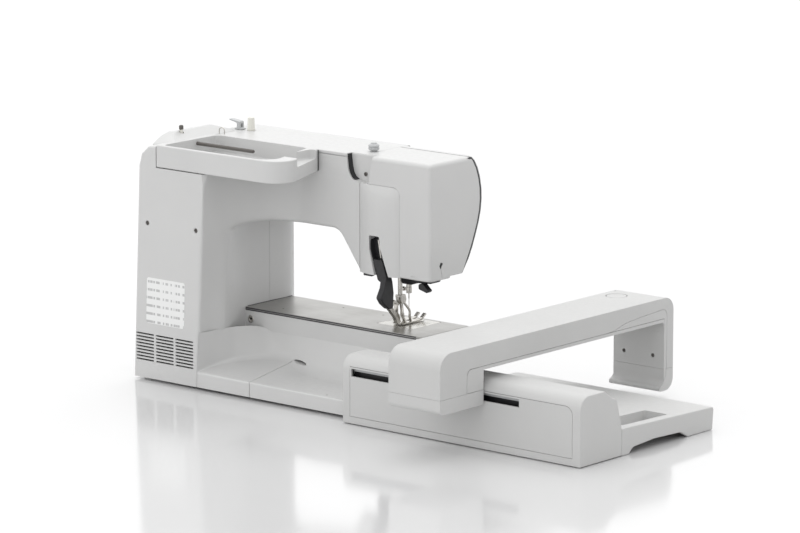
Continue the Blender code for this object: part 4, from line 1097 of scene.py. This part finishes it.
def handwheel():
    profile = ((418.4, 7, 0), (421, 7, 0), (421.2, 30.5, 0), (423.5, 33.2, 0.24), (425, 34, 0.54),
        (433.5, 34, 0.54), (436.5, 32.6, 0.3), (438, 30, 0), (438.2, 26, 0), (436.6, 23, 0),
        (436.4, 8, 0), (438.2, 6.5, 0), (438.4, 1, 0))
    rings = [[(x, y, z) for y, z in waved((-45, 300), radius, wave, 32, 128)]
        for x, radius, wave in profile]
    show(loft("grip_wheel", rings), "grey_trim", "handwheel", on="drive_shaft", smooth=40)


def controls():
    front = FRONT_Y - 8
    for name, body, node, x in (("start_cap", "start_key", "start_button", -12), ("reverse_cap",
            "reverse_key", "reverse_button", 66)):
        show(turned(name, "Y", (x, BUTTON_Z), [(front - 2.7, 2), (front - 2.55, 5), (front - 2.3, 7),
            (front - 1.4, 7.9), (front + 10, 8)], 48), "grey_trim", node, on=body)
    for name, body, node, x in (("upper_dial", "knob_a", "upper_knob", 350), ("lower_dial", "knob_b",
            "lower_knob", 380)):
        profile = ((-114, 2, 0), (-114, 8.6, 0), (-113.4, 10.2, 0.05), (-112, 11, 0.25),
            (-102, 11.3, 0.25), (-100.6, 11.5, 0), (-100.5, 4, 0), (-76, 4, 0))
        dial = loft(name, [[(a, y, b) for a, b in waved((x, KNOB_Z), radius, wave, 20, 80)]
            for y, radius, wave in profile])
        cut(dial, box("pointer", (x - 0.5, -120, 115), (x + 0.5, -113.2, 121)))
        show(dial, "grey_trim", node, on=body, smooth=40)
    slider = prism("speed_grip", rect(166, 260, 178, 268, 1.5, 5), "Y", FRONT_Y - 6, FRONT_Y - 0.6)
    soften(slider, 0.8, 2)
    ribs = [box("rib", (x, FRONT_Y - 8, 258), (x + 0.8, FRONT_Y - 5.2, 270))
        for x in (168.6, 170.6, 172.6, 174.6)]
    cut(slider, *ribs)
    join(slider, box("stem", (169, FRONT_Y - 2, 262.6), (175, FRONT_Y + 20, 265.4)))
    show(slider, "grey_trim", "speed_slider", on="speed_key")
    show(soften(prism("touch_screen", rect(330.5, 150.5, 396.5, 315.5, 3.5, 6), "Y", FRONT_Y - 0.4,
        FRONT_Y + 2.1), 0.5, 2), "screen", "display_screen")


def power_parts():
    body = box("inlet_block", (386, 76, 41), (414.6, 126, 87))
    soften(body, 1, 2)
    mouth = slab("mouth", "X", 398, 430, 5, [(81, 46, 2), (107, 46, 2), (107, 60, 6), (81, 60, 6)])
    cut(body, mouth, box("rocker", (400, 111, 47), (430, 123, 83)))
    show(body, "black_plastic", "power_inlet")
    for i, y in enumerate((88, 94, 100)):
        show(soften(box(f"inlet_prong_{i}", (398.2, y - 1, 51), (408, y + 1, 56)), 0.3, 2), "steel")
    rocker = slab("rocker_cap", "Y", 112, 122, 5, [(403, 50, 0.5), (412.5, 49, 1), (415.5, 50, 1),
        (413.2, 65, 30), (415.5, 80, 1), (412.5, 81, 1), (403, 80, 0.5)])
    soften(rocker, 0.5, 2)
    cut(rocker, bore("X", (117, 73.5), 412.9, 420, 2, 24),
        box("mark", (412.6, 116.5, 53.5), (420, 117.5, 59)))
    show(rocker, "dark_rod", "power_switch", on="mains_rocker")


def rating_label():
    """Plain label with even rules in place of any lettering."""
    plate = slab("plain_label", "Y", REAR_Y - 0.1, REAR_Y + 0.25, 6, [(317, 88, 4), (393, 88, 4),
        (390.5, 157, 4), (314.5, 157, 4)])
    paint = Paint("label_film", 0.3)
    rules = paint.add("ShaderNodeTexWave", {"wave_type": "BANDS", "bands_direction": "Z",
        "wave_profile": "SIN"}, Scale=26, Distortion=0)
    paint.link(paint.place, rules.inputs["Vector"])
    blots = paint.noise(260, 1, (1, 1, 0.02))
    mask = paint.add("ShaderNodeMath", {"operation": "MULTIPLY"})
    paint.link(paint.ramp(rules.outputs["Fac"], 0, 1, 0.72, 0.86), mask.inputs[0])
    paint.link(paint.ramp(blots, 0, 1, 0.46, 0.52), mask.inputs[1])
    paint.colour(mask.outputs[0], (0.84, 0.845, 0.84), LABEL_GREY)
    show(plate, "casing", look=paint.material)


# ---- embroidery module ----
def module_box():
    outline = rounded([(BOX_REAR, 1, 1.5), (BOX_REAR, 99, 20), (114, 99, 6), (97, 86.5, 8), (87, 84, 8),
        (75, 42, 5), (75, 1, 0)], 10)
    shell = prism("module_shell", outline, "X", *BOX_X)
    soften(shell, 2.2, 3, 50)
    inner = slab("inner", "X", BOX_X[0] + 6, BOX_X[1] - 6, 6, [(BOX_REAR - 3, -5, 0),
        (BOX_REAR - 3, 96, 15), (114, 96, 4), (99, 83.5, 6), (89, 80, 5), (79, 42, 4), (79, -5, 0)])
    window = slab("window", "Y", BOX_REAR - 8, BOX_REAR + 5, 8, [(-424.9, 11.5, 0),
        (-424.9, 84.4, 12.5), (-23.8, 84.4, 0), (-23.8, 11.5, 0)])
    cut(shell, inner, window)
    show(shell, "casing", "module_cover", look=MODULE_SKIN, smooth=40)
    panel = slab("module_panel", "Y", BOX_REAR - 3, BOX_REAR - 0.05, 8, [(-424.3, 12.1, 0),
        (-424.3, 83.8, 12), (-24.4, 83.8, 0), (-24.4, 12.1, 0)])
    slot = box("slot", (-331.4, BOX_REAR - 10, 70), (-26.3, BOX_REAR + 5, 81.5))
    cut(panel, slot)
    show(panel, "casing", "module_rear_panel", look=MODULE_SKIN)
    backing("slot_dark", (-428, 155.6, 62), (-22, 156.2, 90))
    show(prism("module_belt", [(160, 76.6), (161.2, 76.6), (161.2, 80.8), (160, 80.8)], "X", -424, -26),
        "grey_trim")


def module_plate():
    plate = slab("module_deck", "X", BOX_X[0], -84, 8, [(74.9, 0.3, 0), (74.9, 39, 0), (60, 39, 6),
        (-139.7, 33, 4), (-137, 0.3, 2), (-79, 0.3, 4), (-62, 9.5, 10), (0, 11.8, 60), (49, 8.5, 12),
        (58, 0.3, 3)])
    soften(plate, 1.6, 3, 50)
    under = box("under", (BOX_X[0] + 5, -133.7, -5), (-89, 69, 26))
    recess = slab("recess", "Z", 10, 60, 6, [(-424.5, -49, 3), (-384.5, -49, 3), (-384.5, 57, 5),
        (-424.5, 57, 5)])
    cut(plate, under, recess)
    show(plate, "casing", "module_plate", look=MODULE_SKIN, smooth=40)
    pocket = prism("recess_pocket", rect(-426.5, -51, -382.5, 59, 3, 6), "Z", 14, 28)
    cut(pocket, slab("inside", "Z", 20, 60, 6, [(-424.3, -48.8, 3), (-384.7, -48.8, 3),
        (-384.7, 56.8, 5), (-424.3, 56.8, 5)]))
    show(pocket, "casing", look=MODULE_SKIN)


# ---- embroidery arm ----
def arm_solid(name):
    """Outer body of the whole embroidery arm, before it is parted into its shells."""
    profile = rounded([(ARM_END, 66, 8), (ARM_END, BRIDGE_Z[1], 24), (-ARM_END, BRIDGE_Z[1], 20),
        (-ARM_END, 13, 18), (-234, 13, 4), (-234, 20, 4), (LEG_Y, 22, 10), (LEG_Y, BRIDGE_Z[0], 6),
        (172, BRIDGE_Z[0], 0), (172, 66, 0)], 12)
    return soften(prism(name, profile, "X", *ARM_X), 2.4, 4, 50)


def arm_parts():
    low_x, high_x = ARM_X
    seam = ([(208, 60)] + [(208, 87)] + arc((200, 112.5), 8, 0, 90, 6) + [(150, 120.5), (-111, 120.5),
        (-124, 121.6), (-134, 124.2), (-146, 127.4), (-160, 129.6), (-189, 131.9),
        (-236, 134.4)] + arc((-241, 124.6), 10, 90, 172, 6) + [(-251.2, 90), (-251, 50), (-249.5, 36),
        (-243, 25), (-232, 19.5), (-200, 17)])
    cover = arm_solid("arm_shell")
    under = arm_solid("arm_lower_shell")
    rear_foot = arm_solid("arm_rear_shoe")
    front_foot = arm_solid("arm_front_shoe")
    wide = (low_x - 5, high_x + 5)
    # upper shell: all but the feet; its parting line is a groove on both sides
    cut(cover, box("feet", (low_x - 5, 150, 0), (high_x + 5, 300, 87.15)),
        box("feet", (low_x - 5, -300, 0), (high_x + 5, -150, 45.45)),
        slab("under", "X", *wide, 8, [(-244.9, 100, 0), (160, 100, 0), (160, 80, 0), (208.5, 80, 0),
            (208.5, 120.9, 12), (-244.9, 120.9, 0)]))
    inner = slab("inner", "X", low_x + 3, high_x - 3, 8, [(ARM_END - 3, 60, 0), (ARM_END - 3, 148, 21),
        (-ARM_END + 3, 148, 17), (-ARM_END + 3, 30, 0), (-247.5, 30, 0), (-247.5, 118, 4),
        (-240, 123, 4), (212, 123, 0), (212, 60, 0)])
    button_hole = bore("Z", ARM_KEY, 140, 160, 16.1, 64)
    side_slot = prism("slot", rect(-150, 124, 190, 130, 3, 6), "X", high_x - 8, high_x + 8)
    lines = [groove(seam[2:], "X", x, 0.7, 0.8) for x in (low_x, high_x)]
    dot = bore("Z", (-184, -241), 149.8, 160, 1.6, 24)
    leg_screws = [bore("Y", (x, LEG_SCREWS_Z), -250, -240, 3.1, 32) for x in LEG_SCREWS_X]
    cut(cover, inner, button_hole, side_slot, dot, *leg_screws)
    cut(cover, *lines)
    show(cover, "casing", "arm_cover", on="embroidery_arm", look=MODULE_SKIN, smooth=40)

    limit(under, slab("keep", "X", *wide, 8, [(-244.4, 100, 0), (172.3, 100, 0), (172.3, 87.45, 0),
        (207.85, 87.45, 0), (207.85, 120.25, 11.5), (-244.4, 120.25, 0)]))
    cut(under, box("hollow", (low_x + 4, 176, 80), (high_x - 4, 204, 117)))
    show(under, "casing", "arm_underside", on="embroidery_arm", look=MODULE_SKIN, smooth=40)

    limit(rear_foot, box("keep", (low_x - 5, 160, 0), (high_x + 5, 300, 86.85)))
    cut(rear_foot, box("hollow", (low_x + 4, 176, 69), (high_x - 4, ARM_END - 4, 100)))
    show(rear_foot, "casing", "arm_rear_foot", on="embroidery_arm", look=MODULE_SKIN, smooth=40)

    limit(front_foot, box("keep", (low_x - 5, -300, 0), (high_x + 5, -200, 45.15)))
    cut(front_foot, *[groove(seam[-7:], "X", x, 0.7, 0.8) for x in (low_x, high_x)])
    show(front_foot, "casing", "arm_front_foot", on="embroidery_arm", look=MODULE_SKIN, smooth=40)

    show(turned("arm_key_cap", "Z", ARM_KEY, [(145.5, 15), (150.2, 15), (150.9, 14.6), (151.1, 13.6),
        (150.7, 11), (150.6, 0.2)], 64), "casing", "arm_button", on="arm_key", look=MODULE_SKIN,
        smooth=40)
    for i, x in enumerate(LEG_SCREWS_X):
        screw(f"leg_screw_{i}", (x, LEG_Y - 1.2, LEG_SCREWS_Z), "Y", 2.9, 1, "embroidery_arm")


def hoop_parts():
    slider = box("hoop_slider", (-178.4, 0, 117.5), (-150, 66, 133))
    soften(slider, 1.8, 3)
    neck = box("neck", (-203, 14, 124.6), (-175, 52, 129.4))
    saddle = box("saddle", (-203, 14, 124.6), (-187, 52, 143))
    join(slider, neck, saddle)
    cut(slider, bore("Y", (-195, 136), 0, 70, 4.1, 32),
        box("hoop_seat", (-168, 20, 129), (-140, 46, 140)))
    show(slider, "grey_trim", "hoop_carriage", on="hoop_slide")


# ---- camera, floor and light ----
def camera_and_stage():
    scene = bpy.context.scene
    scene.view_settings.view_transform = "Standard"
    scene.view_settings.look = "None"
    azimuth, elevation = radians(VIEW_AZIMUTH), radians(VIEW_ELEVATION)
    back = Vector((sin(azimuth) * cos(elevation), -cos(azimuth) * cos(elevation), sin(elevation)))
    data = bpy.data.cameras.new("camera")
    data.lens = LENS
    data.sensor_width = 36
    data.clip_end = 60
    camera = linked("camera", data)
    camera.location = CAMERA_PLACE
    camera.rotation_mode = "QUATERNION"
    camera.rotation_quaternion = (-back).to_track_quat("-Z", "Y")
    scene.camera = camera

    floor = box("floor", (-15000, -15000, -20), (15000, 15000, 0))
    paint = Paint("pale_floor", 0.08, IOR=2.4)
    cloud = paint.noise(3, 2)
    paint.colour(cloud, (0.68, 0.68, 0.685), (0.70, 0.70, 0.70))
    paint.link(paint.ramp(cloud, 0.09, 0.12), paint.shader.inputs["Roughness"])
    floor.data.materials.append(paint.material)

    world = bpy.data.worlds.new("studio")
    world.use_nodes = True
    tree = world.node_tree
    background = tree.nodes["Background"]
    way = tree.nodes.new("ShaderNodeTexCoord")
    facing = tree.nodes.new("ShaderNodeVectorMath")
    facing.operation = "DOT_PRODUCT"
    facing.inputs[1].default_value = (-0.98, -0.15, 0.05)
    tree.links.new(way.outputs["Generated"], facing.inputs[0])
    spread = tree.nodes.new("ShaderNodeMapRange")
    spread.interpolation_type = "SMOOTHSTEP"
    for key, value in zip(("From Min", "From Max", "To Min", "To Max"), (0, 0.95, *STUDIO_LIGHT)):
        spread.inputs[key].default_value = value
    tree.links.new(facing.outputs["Value"], spread.inputs["Value"])
    tree.links.new(spread.outputs["Result"], background.inputs["Strength"])
    background.inputs["Color"].default_value = (1, 1, 1, 1)
    scene.world = world

    lamp = bpy.data.lights.new("soft_sun", "SUN")
    lamp.energy = SUN_STRENGTH
    lamp.angle = radians(SUN_SPREAD)
    sun = linked("soft_sun", lamp)
    sun.rotation_mode = "QUATERNION"
    sun.rotation_quaternion = Vector((-0.25, 0.35, -0.9)).to_track_quat("-Z", "Y")


# ---- everything, in order ----
for build in (dress_cad, rear_shell, front_shell, top_lid, carry_tray, head_shell, head_panel,
        notch_parts, face_shell, head_floor, bed_parts, free_arm, end_door, plinth, base_parts,
        presser_foot, needle_clamp, feed_lever, threader, top_fittings, handwheel, controls,
        power_parts, rating_label, module_box, module_plate, arm_parts, hoop_parts, camera_and_stage):
    build()
